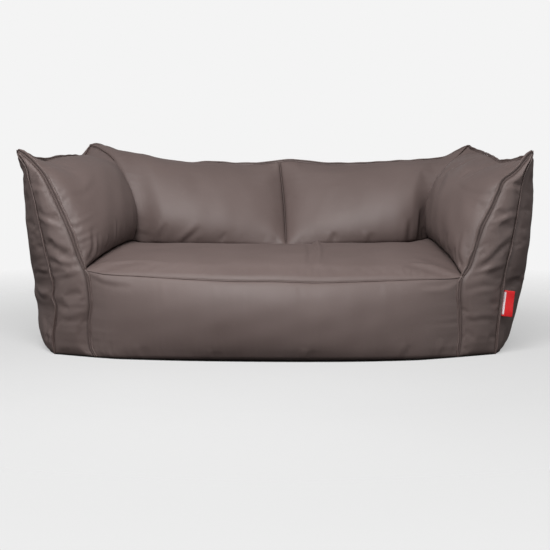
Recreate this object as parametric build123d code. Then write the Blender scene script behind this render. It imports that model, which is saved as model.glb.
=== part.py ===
"""Two-seat bean bag sofa: leather cover panels sewn with flanged welts over bead-filled liners.

Frame: millimetres, +Z up, -Y to the front. The origin is on the floor, at the middle of the
footprint. Seen from the front, the left side is -X and the right side is +X.

The sofa is a U-shaped wall of two arms and a back around a seat. Each of these four chambers is a
loft through upright sections. A section is a polygon in (s, z): s runs along the section's heading
from its origin, z is the height, and each edge bows outward by its bulge.
"""

from build123d import *

import math
import os

# ---- Cloth and leather ---------------------------------------------------------------------------
COVER = 3.0  # cover panel
LINING = 2.0  # partition between two chambers
LINER = 2.0  # inner bag that holds the beads
SLACK = 12.0  # room between the cover and a liner
PLAY = 1.0  # room between a liner and its beads, and beside a partition
BASE = 3.0  # base cloth

# ---- Seat ----------------------------------------------------------------------------------------
FORK_X = 690.0  # half the seat's width at the front, where arm, seat and front panel meet
FORK_Y = -420.0
FORK_Z = 312.0
INNER_X = 600.0  # half the seat's width at the back
INNER_Y = 130.0  # face of the back, at seat level
SEAT_BOW = 90.0  # how far the front panel's middle stands ahead of the forks
SEAT_LEAN = 14.0  # how far the front panel's middle leans back, from the floor to the seat
SEAT_FRONT_Z = 292.0  # seat level at the front's middle
SEAT_REAR_Z = 375.0  # seat level at the back's middle
SEAT_CORNER_Z = 365.0  # seat level where an arm meets the back
SEAT_SIDE_CROWN = 12.0
SEAT_CROWN = 42.0
FRONT_BULGE = 12.0

# ---- Arms ----------------------------------------------------------------------------------------
ARM_HEADING = 25.0  # degrees that an arm's front panel turns back from the front
ARM_FOOT = 150.0  # width of the arm's front panel at the floor
ARM_PEAK_S = 287.0  # how far its peak leans out
ARM_PEAK_Z = 757.0
ARM_OUTER_BULGE = -24.0
ARM_INNER_BULGE = 28.0
ARM_MID_HEADING = 22.0  # the section halfway along the arm
ARM_MID_FOOT = 288.0
ARM_MID_TOP_S = 262.0
ARM_MID_TOP_Z = 722.0
ARM_MID_SEAT_Z = 350.0
ARM_MID_OUTER_BULGE = 83.0
ARM_MID_INNER_BULGE = 68.0

# ---- Back ----------------------------------------------------------------------------------------
CORNER_HEADING = 57.0  # of the seam plane between an arm and the back
CORNER_PEAK_S = 375.0
CORNER_PEAK_Z = 775.0
CORNER_INNER_BULGE = 98.0
BACK_FOOT = 350.0  # depth of the back at the floor
BACK_TOP_S = 290.0
BACK_TOP_Z = 692.0  # the top edge dips in the middle
BACK_INNER_BULGE = 60.0
BACK_OUTER_BULGE = 16.0

# ---- Welts: two leather edges sewn together, standing out of the seam ----------------------------
WELT_THICK = 2 * COVER
WELT_HIGH = 11.0
WELT_ROOT = COVER  # how deep a welt is sewn in
RIDGE_ROOT = 2 * COVER  # the same along a ridge, where two panels meet at an angle
SEAM_THICK = 3.0  # the low seams of the seat's front and the back's middle
SEAM_HIGH = 3.0

# ---- Zip, low on the back ------------------------------------------------------------------------
ZIP_LENGTH = 900.0
ZIP_PLACE = 0.13  # share of the way up the back
ZIP_WINDOW = 24.0
TAPE = 1.2
TAPE_DEEP = 1.3  # from the leather's face down to the tape's
TEETH_GAP = 0.05  # half the gap between the two rows of teeth
TEETH_NECK = 1.5  # half width of the rail that both rows make
TEETH_HEAD = 3.0
TEETH_HIGH = 2.0
SLIDER_LENGTH = 16.0
SLIDER_WIDE = 12.0
SLIDER_TOP = 1.9
SLIDER_LIP = 0.6
SLIDER_PLAY = 0.3
EYE_LENGTH = 6.0
EYE_THICK = 2.0
EYE_HIGH = 4.0
EYE_HOLE = 1.3  # radius
STOP_LENGTH = 4.0

# ---- Label, sewn into the right arm's outer welt -------------------------------------------------
LABEL_WIDE = 44.0
LABEL_HIGH = 98.0
LABEL_THICK = 1.2
LABEL_PLACE = 0.25  # share of the way up the welt, to the label's middle
LABEL_GAP = 1.5  # from the welt to the label

# Edges of an arm's or the back's section, and of the seat's
FLOOR, OUTER, INNER, WALL = range(4)
SEAT_FLOOR, SEAT_REAR, SEAT_TOP, SEAT_FRONT = range(4)
# Corners where edges meet
PEAK = INNER
SEAT_LIP = SEAT_FRONT

UP = Vector(0, 0, 1)
FAR = 3000.0  # beyond the sofa in any direction


# ---- Plane geometry in (s, z) --------------------------------------------------------------------
def beside(p, q, bulge, share, distance=0.0):
    """The point at this share of the arc from p to q, moved outward from it by distance.

    The arc bows to the right of its chord by bulge, or to the left if that is negative.
    """
    run = math.dist(p, q)
    along = ((q[0] - p[0]) / run, (q[1] - p[1]) / run)
    half_turn = 2 * math.atan2(2 * bulge, run)
    turn = (2 * share - 1) * half_turn
    travel = run * share
    rise = distance
    if half_turn:
        radius = run / (2 * math.sin(half_turn))
        travel = run / 2 + (radius + distance) * math.sin(turn)
        rise = (radius + distance) * math.cos(turn) - radius * math.cos(half_turn)
    return (p[0] + along[0] * travel + along[1] * rise, p[1] + along[1] * travel - along[0] * rise)


def crossing(first, second):
    """Where two lines meet, each given as (point, direction)."""
    (p, d), (q, e) = first, second
    share = ((q[0] - p[0]) * e[1] - (q[1] - p[1]) * e[0]) / (d[0] * e[1] - d[1] * e[0])
    return (p[0] + d[0] * share, p[1] + d[1] * share)


def ring(items):
    """Each item with the one after it, round to the first."""
    return zip(items, items[1:] + items[:1])


# ---- Sections ------------------------------------------------------------------------------------
class Section:
    """An upright section. Its corners run counter-clockwise from the foot at s = 0.

    Edge i joins corner i to the next. The normal leads from one section of a chamber to the next.
    """

    def __init__(self, x, y, heading, corners, bulges):
        self.x = x
        self.y = y
        self.heading = heading
        self.corners = corners
        self.bulges = bulges

    def along(self):
        angle = math.radians(self.heading)
        return Vector(math.cos(angle), math.sin(angle), 0)

    def normal(self):
        return UP.cross(self.along())

    def at(self, point):
        return Vector(self.x, self.y, 0) + self.along() * point[0] + UP * point[1]

    def moved(self, distance):
        """The same section, carried along its normal."""
        place = self.at((0, 0)) + self.normal() * distance
        return Section(place.X, place.Y, self.heading, self.corners, self.bulges)

    def mirrored(self):
        return Section(-self.x, self.y, 180 - self.heading, self.corners, self.bulges)

    def inset(self, distances):
        """The corners after each edge has moved inward by its own distance."""
        lines = []
        for (p, q), distance in zip(ring(self.corners), distances):
            start = beside(p, q, 0, 0, -distance)
            lines.append((start, (q[0] - p[0], q[1] - p[1])))
        return [crossing(lines[i - 1], lines[i]) for i in range(len(lines))]

    def curve(self, p, q, bulge):
        if not bulge:
            return Edge.make_line(self.at(p), self.at(q))
        middle = beside(p, q, bulge, 0.5)
        return Edge.make_three_point_arc(self.at(p), self.at(middle), self.at(q))

    def outline(self, distances=(0, 0, 0, 0)):
        """Closed wire round the section, inset edge by edge."""
        edges = zip(ring(self.inset(distances)), self.bulges)
        return Wire([self.curve(p, q, bulge) for (p, q), bulge in edges])

    def strip(self, edge, insets):
        """Closed wire between one edge and the same edge of the inset section."""
        after = (edge + 1) % len(self.corners)
        a, b = self.corners[edge], self.corners[after]
        d, c = self.inset(insets)[edge], self.inset(insets)[after]
        bulge = self.bulges[edge]
        sides = [(a, b, bulge), (b, c, 0), (c, d, -bulge), (d, a, 0)]
        return Wire([self.curve(p, q, bow) for p, q, bow in sides])

    def beside(self, edge, share, distance):
        after = (edge + 1) % len(self.corners)
        p, q = self.corners[edge], self.corners[after]
        return beside(p, q, self.bulges[edge], share, distance)

    def band(self, edge, high, thick):
        """A welt along one edge: a plate centred on the section's plane."""
        root = [self.at(self.beside(edge, share, -WELT_ROOT)) for share in (0, 0.5, 1)]
        crest = [self.at(self.beside(edge, share, high)) for share in (1, 0.5, 0)]
        sides = [
            Edge.make_three_point_arc(*root),
            Edge.make_line(root[2], crest[0]),
            Edge.make_three_point_arc(*crest),
            Edge.make_line(crest[2], root[0]),
        ]
        return plate(Wire(sides), self.normal() * thick, centred=True)

    def post(self, corner, lean, high, thick):
        """Outline of a welt that runs from section to section at one corner.

        It stands lean degrees off upright, towards +s.
        """
        up = (math.sin(math.radians(lean)), math.cos(math.radians(lean)))
        s, z = self.corners[corner]
        half = thick / 2
        steps = [(-RIDGE_ROOT, -half), (high, -half), (high, half), (-RIDGE_ROOT, half)]
        points = [(s + up[0] * h + up[1] * w, z + up[1] * h - up[0] * w) for h, w in steps]
        return Wire.make_polygon([self.at(point) for point in points], close=True)


def plate(outline, direction, centred=False):
    """A flat outline, thickened along direction."""
    start = direction * -0.5 if centred else Vector(0, 0, 0)
    return Solid.extrude(Face(outline).moved(Location(start)), direction)


def box(x, y, z):
    """A block between two values along each axis."""
    return Solid.make_box(
        x[1] - x[0], y[1] - y[0], z[1] - z[0], Plane(origin=(x[0], y[0], z[0]))
    )


# ---- The chambers' sections ----------------------------------------------------------------------
def wall_section(x, y, heading, foot, top, seat_z, outer_bulge, inner_bulge):
    corners = [(0, BASE), (foot, BASE), top, (0, seat_z)]
    return Section(x, y, heading, corners, [0, outer_bulge, inner_bulge, 0])


def corner_section(x):
    """The seam plane between the right arm and the back, through x on the face of the back."""
    reach = BACK_FOOT / math.sin(math.radians(CORNER_HEADING))
    top = (CORNER_PEAK_S, CORNER_PEAK_Z)
    bulges = (BACK_OUTER_BULGE, CORNER_INNER_BULGE)
    return wall_section(x, INNER_Y, CORNER_HEADING, reach, top, SEAT_CORNER_Z, *bulges)


def arm_sections():
    """The right arm, from its front panel to the corner."""
    front = wall_section(
        FORK_X,
        FORK_Y,
        ARM_HEADING,
        ARM_FOOT,
        (ARM_PEAK_S, ARM_PEAK_Z),
        FORK_Z,
        ARM_OUTER_BULGE,
        ARM_INNER_BULGE,
    )
    middle = wall_section(
        (FORK_X + INNER_X) / 2,
        (FORK_Y + INNER_Y) / 2,
        ARM_MID_HEADING,
        ARM_MID_FOOT,
        (ARM_MID_TOP_S, ARM_MID_TOP_Z),
        ARM_MID_SEAT_Z,
        ARM_MID_OUTER_BULGE,
        ARM_MID_INNER_BULGE,
    )
    return [front, middle, corner_section(INNER_X)]


def back_sections():
    """The back, from the right corner to the left one, between the corners' partitions."""
    right = corner_section(INNER_X - LINING / math.sin(math.radians(CORNER_HEADING)))
    top = (BACK_TOP_S, BACK_TOP_Z)
    bulges = (BACK_OUTER_BULGE, BACK_INNER_BULGE)
    middle = wall_section(0, INNER_Y, 90, BACK_FOOT, top, SEAT_REAR_Z, *bulges)
    return [right, middle, right.mirrored()]


def seat_sections():
    """The seat, from its right side to its left one, between the partitions."""
    heading = math.degrees(math.atan2(INNER_Y - FORK_Y, INNER_X - FORK_X))
    side = Section(FORK_X, FORK_Y, heading, [], []).moved(LINING)
    rear_y = INNER_Y - LINING
    length = (rear_y - side.y) / side.along().Y
    side.corners = [(0, BASE), (length, BASE), (length, SEAT_CORNER_Z), (0, FORK_Z)]
    side.bulges = [0, 0, SEAT_SIDE_CROWN, 0]
    depth = rear_y - FORK_Y + SEAT_BOW
    lip = (SEAT_LEAN, SEAT_FRONT_Z)
    corners = [(0, BASE), (depth, BASE), (depth, SEAT_REAR_Z), lip]
    middle = Section(0, FORK_Y - SEAT_BOW, 90, corners, [0, 0, SEAT_CROWN, FRONT_BULGE])
    return [side, middle, side.mirrored()]


# ---- Sub-parts of one chamber --------------------------------------------------------------------
def panel(sections, edge, insets):
    """A cover panel on one edge of every section."""
    return Solid.make_loft([section.strip(edge, insets) for section in sections])


def hull(sections, insets, end_inset):
    """The space inside the sections, inset edge by edge and at both ends."""
    first = sections[0].moved(end_inset)
    last = sections[-1].moved(-end_inset)
    row = [first, *sections[1:-1], last]
    return Solid.make_loft([section.outline(insets) for section in row])


def filling(sections, insets):
    """(liner, beads) of a chamber, from the liner's distance to each edge."""
    depths = (0, LINER, LINER + PLAY)
    outside, inside, heap = [
        hull(sections, [gap + depth for gap in insets], PLAY + depth) for depth in depths
    ]
    return outside - inside, heap


def running_welt(sections, corner, lean, high, thick):
    """A welt along one corner of every section."""
    return Solid.make_loft([s.post(corner, lean, high, thick) for s in sections])


# ---- Sub-parts -----------------------------------------------------------------------------------
def mirror_x(shape):
    return shape.mirror(Plane.YZ)


def paired(parts):
    """Each of the right side's parts, and its mirror image on the left."""
    both = {}
    for name, part in parts.items():
        both[f"right_{name}"] = part
        both[f"left_{name}"] = mirror_x(part)
    return both


def make_panels(arm, back, seat):
    wall_insets = [0, COVER, COVER, 0]
    seat_insets = [0, 0, COVER, COVER]
    front = arm[0]
    back_inner = panel(back, INNER, wall_insets)
    right_half = box((0, FAR), (-FAR, FAR), (-FAR, FAR))
    panels = paired(
        {
            "arm_front_panel": plate(front.outline(), front.normal() * -COVER),
            "arm_inner_panel": panel(arm, INNER, wall_insets),
            "arm_outer_panel": panel(arm, OUTER, wall_insets),
            "back_inner_panel": back_inner & right_half,
        }
    )
    panels["back_outer_panel"] = panel(back, OUTER, wall_insets)
    panels["seat_top_panel"] = panel(seat, SEAT_TOP, seat_insets)
    panels["front_panel"] = panel(seat, SEAT_FRONT, seat_insets)
    return panels


def make_base(arm, seat):
    """The base cloth, under every chamber's foot."""
    outer = [section.at((section.corners[1][0], 0)) for section in arm]
    front = [section.at((0, 0)) for section in (arm[0], seat[1], arm[0].mirrored())]
    left = [Vector(-point.X, point.Y, 0) for point in reversed(outer)]
    edges = [
        Edge.make_spline(front),
        Edge.make_line(front[2], left[2]),
        Edge.make_spline(left),
        Edge.make_line(left[0], outer[2]),
        Edge.make_spline(outer),
        Edge.make_line(outer[0], front[0]),
    ]
    return plate(Wire(edges), UP * BASE)


def make_partitions(arm, seat):
    corner, side = arm[2], seat[0]
    partitions = paired(
        {
            "corner_partition": plate(corner.outline(), corner.normal() * LINING),
            "seat_partition": plate(side.outline(), side.normal() * -LINING),
        }
    )
    reach = side.at((side.corners[1][0], 0)).X
    partitions["rear_seat_partition"] = box(
        (-reach, reach), (INNER_Y - LINING, INNER_Y), (BASE, SEAT_CORNER_Z)
    )
    return partitions


def make_fillings(arm, back, seat):
    cover_gap = COVER + SLACK
    seam_gap = WELT_ROOT + PLAY
    wall_insets = [PLAY, cover_gap, cover_gap, seam_gap]
    seat_insets = [PLAY, PLAY, cover_gap, cover_gap]
    arm_liner, arm_beads = filling(arm, wall_insets)
    parts = paired({"arm_liner": arm_liner, "arm_bead_fill": arm_beads})
    parts["back_liner"], parts["back_bead_fill"] = filling(back, wall_insets)
    parts["seat_liner"], parts["seat_bead_fill"] = filling(seat, seat_insets)
    return parts


def make_welts(arm, back, seat):
    """The base and the welts, the ones that run through a junction first."""
    front = arm[0]
    corner = arm[2].moved(LINING / 2)
    welts = {"base_panel": make_base(arm, seat)}
    welts["back_top_welt"] = running_welt(back, PEAK, 0, WELT_HIGH, WELT_THICK)
    welts |= paired(
        {
            "arm_top_welt": running_welt(arm, PEAK, 0, WELT_HIGH, WELT_THICK),
            "inner_corner_welt": corner.band(INNER, WELT_HIGH, WELT_THICK),
            "rear_corner_welt": corner.band(OUTER, WELT_HIGH, WELT_THICK),
            "arm_inner_welt": front.band(INNER, WELT_HIGH, WELT_THICK),
            "arm_outer_welt": front.band(OUTER, WELT_HIGH, WELT_THICK),
            "front_seam_welt": box(
                (FORK_X - WELT_THICK / 2, FORK_X + WELT_THICK / 2),
                (FORK_Y - WELT_HIGH, FORK_Y + WELT_ROOT),
                (BASE, FORK_Z),
            ),
        }
    )
    welts["seat_front_seam"] = running_welt(seat, SEAT_LIP, -45, SEAM_HIGH, SEAM_THICK)
    welts["back_centre_seam"] = back[1].band(INNER, SEAM_HIGH, SEAM_THICK)
    return welts


# ---- Sewing --------------------------------------------------------------------------------------
def near(first, second):
    """Whether two shapes' boxes overlap."""
    a, b = first.bounding_box(), second.bounding_box()
    spans = (
        (max(a.min.X, b.min.X), min(a.max.X, b.max.X)),
        (max(a.min.Y, b.min.Y), min(a.max.Y, b.max.Y)),
        (max(a.min.Z, b.min.Z), min(a.max.Z, b.max.Z)),
    )
    return all(low < high for low, high in spans)


def without(shape, tools):
    """What is left of a shape in one piece when the tools' space is taken from it."""
    for tool in tools:
        if near(shape, tool):
            shape = max((shape - tool).solids(), key=lambda solid: solid.volume)
    return shape


def sewn(panels, welts):
    """Panels and welts together, each welt giving way to the ones before it, and panels to all."""
    done = {}
    for name, welt in welts.items():
        done[name] = without(welt, list(done.values()))
    for name, part in panels.items():
        done[name] = without(part, welts.values())
    return done


# ---- Zip -----------------------------------------------------------------------------------------
def zip_plane(back):
    """On the back's outer face. Local x runs to -X, y up the leather and z out of it."""
    middle = back[1]
    on, out = (middle.at(middle.beside(OUTER, ZIP_PLACE, d)) for d in (0, 1))
    return Plane(origin=on, x_dir=(-1, 0, 0), z_dir=out - on)


def zip_travel():
    """From the middle of the zip to the slider's middle, against a stop."""
    return ZIP_LENGTH / 2 - STOP_LENGTH - SLIDER_LENGTH / 2 - SLIDER_PLAY


def make_zip():
    """The zip in its own plane, with the slider at the closed end."""
    half = ZIP_LENGTH / 2
    rail = half - STOP_LENGTH
    tape_z = (-TAPE_DEEP - TAPE, -TAPE_DEEP)
    tape = box((-half, half), (TEETH_GAP, ZIP_WINDOW / 2), tape_z)
    neck = box((-rail, rail), (TEETH_GAP, TEETH_NECK), (-TAPE_DEEP, 0))
    head = box((-rail, rail), (TEETH_GAP, TEETH_HEAD), (0, TEETH_HIGH))
    teeth = (neck + head).solid()
    stop = box((rail, half), (-TEETH_HEAD, TEETH_HEAD), (-TAPE_DEEP, TEETH_HIGH))
    stops = Compound([stop, mirror_x(stop)])
    parts = {"upper_tape": tape, "upper_teeth": teeth}
    parts |= {"lower_tape": tape.mirror(Plane.XZ), "lower_teeth": teeth.mirror(Plane.XZ)}
    parts |= {"end_stops": stops, "slider": make_slider()}
    return {f"zip_{name}": part for name, part in parts.items()}


def make_slider():
    """A saddle that wraps the teeth, with a small eye in place of a pull."""
    middle = zip_travel()
    reach = (middle - SLIDER_LENGTH / 2, middle + SLIDER_LENGTH / 2)
    through = (reach[0] - 1, reach[1] + 1)
    half = SLIDER_WIDE / 2
    channel = TEETH_HEAD + SLIDER_PLAY
    slot = TEETH_NECK + SLIDER_PLAY
    lid = TEETH_HIGH + SLIDER_PLAY
    top = lid + SLIDER_TOP
    lip = -SLIDER_PLAY - SLIDER_LIP
    body = box(reach, (-half, half), (lip, top))
    body -= box(through, (-channel, channel), (-SLIDER_PLAY, lid))
    body -= box(through, (-slot, slot), (lip - 1, 0))
    eye_x = (middle - EYE_LENGTH / 2, middle + EYE_LENGTH / 2)
    eye = box(eye_x, (-EYE_THICK / 2, EYE_THICK / 2), (top, top + EYE_HIGH))
    bore = Plane(origin=(middle, -EYE_THICK, top + EYE_HIGH / 2), z_dir=(0, 1, 0))
    eye -= Solid.make_cylinder(EYE_HOLE, 2 * EYE_THICK, bore)
    return (body + eye).solid()


def zip_window():
    half = ZIP_LENGTH / 2
    return box((-half, half), (-ZIP_WINDOW / 2, ZIP_WINDOW / 2), (-FAR / 100, FAR / 100))


# ---- Label ---------------------------------------------------------------------------------------
def label_hinge(front):
    """(anchor, axis) in (s, z) of the line that the label folds about."""
    above, below = (
        front.beside(OUTER, LABEL_PLACE + step, WELT_HIGH + LABEL_GAP) for step in (0.05, -0.05)
    )
    reach = math.dist(above, below)
    axis = ((above[0] - below[0]) / reach, (above[1] - below[1]) / reach)
    return ((above[0] + below[0]) / 2, (above[1] + below[1]) / 2), axis


def make_label(front):
    (s, z), up = label_hinge(front)
    half = LABEL_HIGH / 2
    steps = [(-half, 0), (-half, LABEL_WIDE), (half, LABEL_WIDE), (half, 0)]
    points = [(s + up[0] * h + up[1] * w, z + up[1] * h - up[0] * w) for h, w in steps]
    outline = Wire.make_polygon([front.at(point) for point in points], close=True)
    return plate(outline, front.normal() * LABEL_THICK, centred=True)


# ---- The sofa ------------------------------------------------------------------------------------
def make_sofa():
    """Every sub-part by name, before the footprint is centred on the origin."""
    arm, back, seat = arm_sections(), back_sections(), seat_sections()
    place = zip_plane(back)
    panels = make_panels(arm, back, seat) | make_partitions(arm, seat)
    window = place.location * zip_window()
    panels["back_outer_panel"] = without(panels["back_outer_panel"], [window])
    sofa = sewn(panels, make_welts(arm, back, seat))
    sofa |= make_fillings(arm, back, seat)
    sofa |= {name: place.location * part for name, part in make_zip().items()}
    sofa["side_label"] = make_label(arm[0])
    return sofa


def main():
    sofa = make_sofa()
    bounds = Compound(list(sofa.values())).bounding_box()
    centring = Vector(0, -(bounds.min.Y + bounds.max.Y) / 2, 0)
    os.makedirs("parts", exist_ok=True)
    for name, part in sofa.items():
        export_step(part.moved(Location(centring)), f"parts/{name}.step")
    front = arm_sections()[0]
    anchor, axis = label_hinge(front)
    print("overall size", bounds.size, "moved by", centring.Y)
    print("label hinge at", front.at(anchor) + centring, "along", front.at(axis) - front.at((0, 0)))
    print("slider travel", 2 * zip_travel())


main()
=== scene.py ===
import math

import bmesh
import bpy
import numpy as np
from mathutils import Matrix, Vector
from mathutils.bvhtree import BVHTree


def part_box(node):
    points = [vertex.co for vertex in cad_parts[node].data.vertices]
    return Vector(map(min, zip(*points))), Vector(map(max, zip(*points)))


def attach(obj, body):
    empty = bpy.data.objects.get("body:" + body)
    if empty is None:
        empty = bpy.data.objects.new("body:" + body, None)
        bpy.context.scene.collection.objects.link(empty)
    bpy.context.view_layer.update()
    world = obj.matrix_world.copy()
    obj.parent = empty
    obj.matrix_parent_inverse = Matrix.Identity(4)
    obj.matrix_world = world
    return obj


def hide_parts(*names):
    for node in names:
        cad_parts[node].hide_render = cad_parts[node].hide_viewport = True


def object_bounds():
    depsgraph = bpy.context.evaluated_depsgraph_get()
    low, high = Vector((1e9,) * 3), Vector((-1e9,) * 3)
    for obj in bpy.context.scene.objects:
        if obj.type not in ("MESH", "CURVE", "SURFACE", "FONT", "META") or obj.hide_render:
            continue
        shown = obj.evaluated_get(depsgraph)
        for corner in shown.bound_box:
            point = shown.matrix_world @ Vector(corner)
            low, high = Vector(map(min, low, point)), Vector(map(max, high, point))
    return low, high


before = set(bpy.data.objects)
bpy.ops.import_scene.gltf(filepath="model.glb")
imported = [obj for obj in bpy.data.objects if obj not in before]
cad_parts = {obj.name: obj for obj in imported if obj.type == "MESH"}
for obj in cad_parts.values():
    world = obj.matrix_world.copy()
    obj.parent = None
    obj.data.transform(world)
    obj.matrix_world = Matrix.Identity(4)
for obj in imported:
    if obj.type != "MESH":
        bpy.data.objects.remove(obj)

# The looks of a two-seat bean bag sofa: a faux leather cover sewn from shaped panels over bags of beads.
# Everything is in metres. Places come from the boxes of the CAD nodes.

CAD_LOW, CAD_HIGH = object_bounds()
SIDES = {"left": -1.0, "right": 1.0}

COVER = 0.003
CLOTH = 0.002
LIFT = 0.003          # the panels stand on the base cloth

# How many points each sewn edge has
LOW = 30              # floor to fork
UP = 46               # fork to peak, and inner corner
DEPTH = 62            # front to back along an arm
ACROSS_GUSSET = 18
HALF_BACK = 58
BACK = 2 * HALF_BACK - 1


def low(node):
    return np.array(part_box(node)[0])


def high(node):
    return np.array(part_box(node)[1])


FORK = np.array([0.5 * (low("right_front_seam_welt") + high("right_front_seam_welt"))[0],
                 high("right_front_seam_welt")[1], high("right_front_seam_welt")[2]])
PEAK = np.array([high("right_arm_front_panel")[0], high("right_arm_front_panel")[1],
                 high("right_arm_front_panel")[2]])
CORNER_FOOT = np.array([low("right_corner_partition")[0], low("right_corner_partition")[1],
                        high("right_seat_partition")[2]])
CORNER_TOP = np.array([high("right_inner_corner_welt")[0], high("right_arm_inner_panel")[1],
                       CAD_HIGH[2]])
REAR_FOOT = np.array([high("right_corner_partition")[0], high("right_corner_partition")[1], LIFT])
SEAT_MIDDLE = np.array([0.0, low("seat_top_panel")[1], low("seat_front_seam")[2]])
BACK_FOOT = np.array([0.0, low("back_centre_seam")[1], low("back_centre_seam")[2]])
BACK_TOP = np.array([0.0, high("back_centre_seam")[1], high("back_centre_seam")[2]])
TALL = CAD_HIGH[2]

# Every outline below is a few points, as shares of the CAD sizes.
# Gusset seams: (share of the way from the fork's column to the peak's, share of the peak's height)
FRONT_SEAM = {
    "left": [(-0.10, 0.0), (-0.02, 0.05), (0.0, 0.16), (-0.03, 0.25), (-0.02, 0.32), (0.01, 0.39), (0.055, 0.435)],
    "right": [(-0.04, 0.0), (-0.01, 0.09), (-0.02, 0.22), (-0.035, 0.31), (-0.02, 0.375), (0.01, 0.402)],
}
INNER_SEAM = {
    "left": [(0.055, 0.435), (0.12, 0.48), (0.25, 0.60), (0.40, 0.715), (0.54, 0.812), (0.66, 0.888),
             (0.76, 0.93), (0.89, 0.972), (1.065, 1.018)],
    "right": [(0.01, 0.402), (0.11, 0.445), (0.17, 0.50), (0.305, 0.638), (0.435, 0.723), (0.54, 0.80),
              (0.63, 0.865), (0.81, 0.908), (0.955, 0.962), (1.07, 1.014)],
}
OUTER_SEAM = {
    "left": [(0.54, 0.0), (0.55, 0.09), (0.51, 0.175), (0.495, 0.24), (0.54, 0.29), (0.525, 0.34), (0.545, 0.39),
             (0.66, 0.55), (0.78, 0.75), (0.845, 0.84), (0.915, 0.93), (1.07, 1.012)],
    "right": [(0.54, 0.0), (0.56, 0.12), (0.605, 0.265), (0.64, 0.375), (0.77, 0.59), (0.85, 0.755),
              (0.93, 0.90), (1.075, 1.008)],
}
# Inner corner seam: (share of the way from the corner's foot to its top in plan, share of the height)
CORNER_SEAM = {
    "left": [(-0.06, 0.495), (-0.09, 0.55), (-0.12, 0.625), (-0.075, 0.695), (0.04, 0.772), (0.175, 0.84),
             (0.345, 0.90), (0.52, 0.938), (0.75, 0.968), (0.985, 0.988)],
    "right": [(0.22, 0.50), (0.19, 0.59), (0.215, 0.678), (0.32, 0.757), (0.49, 0.827), (0.69, 0.887),
              (0.93, 0.945), (1.10, 0.985)],
}
# Arm top seam: (share of the way back from the peak, share of the peak's x, share of the height)
ARM_TOP = {
    "left": [(0.0, 1.02, 0.966), (0.08, 0.988, 0.943), (0.25, 0.957, 0.918), (0.47, 0.92, 0.928),
             (0.68, 0.889, 0.929), (0.88, 0.864, 0.927), (0.965, 0.853, 0.96), (1.0, 0.847, 0.988)],
    "right": [(0.0, 1.02, 0.963), (0.05, 0.996, 0.935), (0.20, 0.965, 0.916), (0.35, 0.94, 0.909),
              (0.55, 0.925, 0.934), (0.76, 0.918, 0.948), (0.93, 0.896, 0.968), (1.0, 0.887, 0.985)],
}
# How far the corner seam's end is drawn to the end of the arm's top seam
CORNER_CLOSED = {"left": 0.25, "right": 1.0}
# Back top seam: (share of the corner's x, share of the height)
BACK_TOP_LEFT = [(-0.995, 0.988), (-0.945, 0.986), (-0.875, 0.953), (-0.79, 0.931), (-0.73, 0.92), (-0.655, 0.90),
                 (-0.49, 0.884), (-0.35, 0.89), (-0.16, 0.881), (-0.065, 0.886), (0.025, 0.896)]
BACK_TOP_RIGHT = [(0.025, 0.896), (0.09, 0.902), (0.17, 0.893), (0.36, 0.881), (0.66, 0.894), (0.83, 0.905),
                  (0.91, 0.914), (0.985, 0.952), (1.043, 0.985)]
# Seat front seam: (share of the fork's x, how far back of the middle, height above the middle)
SEAT_FRONT = [(-0.90, 0.057, 0.025), (-0.715, 0.037, 0.02), (-0.53, 0.02, 0.014), (-0.25, 0.005, 0.006),
              (0.0, 0.0, 0.005), (0.20, 0.002, 0.0), (0.46, 0.014, 0.003), (0.74, 0.04, 0.007), (0.93, 0.065, 0.008)]
# Line where the seat meets the back: (share of the corner foot's x, shift back, shift up)
SEAT_REAR = [(-0.88, -0.036, 0.006), (-0.66, -0.048, -0.004), (-0.35, -0.044, -0.008), (0.02, -0.040, -0.010),
             (0.40, -0.042, -0.006), (0.74, -0.044, 0.0), (0.90, -0.022, 0.004)]
# Feet on the floor
FRONT_FOOT = [(-0.90, 0.062), (-0.80, 0.042), (-0.45, 0.008), (0.0, -0.010), (0.40, -0.008), (0.72, 0.018),
              (0.86, 0.050)]
FOOT_BACK = 0.010      # how far the front's foot is tucked under
SIDE_FOOT = [(0.10, 0.035), (0.28, 0.055), (0.48, 0.062), (0.70, 0.055), (0.90, 0.030)]


def catmull(points, count, fine=24):
    """A smooth curve through a few points, as evenly spaced points."""
    p = np.asarray(points, float)
    ends = np.vstack([2 * p[0] - p[1], p, 2 * p[-1] - p[-2]])
    t = np.linspace(0, 1, fine, endpoint=False)[:, None]
    line = []
    for a, b, c, d in zip(ends[:-3], ends[1:-2], ends[2:-1], ends[3:]):
        line.append(0.5 * (2 * b + (c - a) * t + (2 * a - 5 * b + 4 * c - d) * t ** 2
                           + (3 * b - a - 3 * c + d) * t ** 3))
    return even(np.vstack(line + [p[-1:]]), count)


def even(line, count):
    """The same line as count points at equal steps."""
    steps = np.linalg.norm(np.diff(line, axis=0), axis=1)
    at = np.concatenate([[0], np.cumsum(steps)])
    goal = np.linspace(0, at[-1], count)
    return np.stack([np.interp(goal, at, line[:, k]) for k in range(3)], 1)


def mirrored(points, side):
    return np.asarray(points, float) * (SIDES[side], 1, 1)


def on_gusset(across, up):
    plan = FORK[:2] + across * (PEAK[:2] - FORK[:2])
    return (*plan, max(up * PEAK[2], LIFT))


def on_corner(along, up):
    plan = CORNER_FOOT[:2] + along * (CORNER_TOP[:2] - CORNER_FOOT[:2])
    return (*plan, up * TALL)


def meet(edge, start, end):
    """The edge, moved a little so that it starts and ends at these points."""
    t = np.linspace(0, 1, len(edge))[:, None]
    return edge + (start - edge[0]) * (1 - t) + (end - edge[-1]) * t


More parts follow.
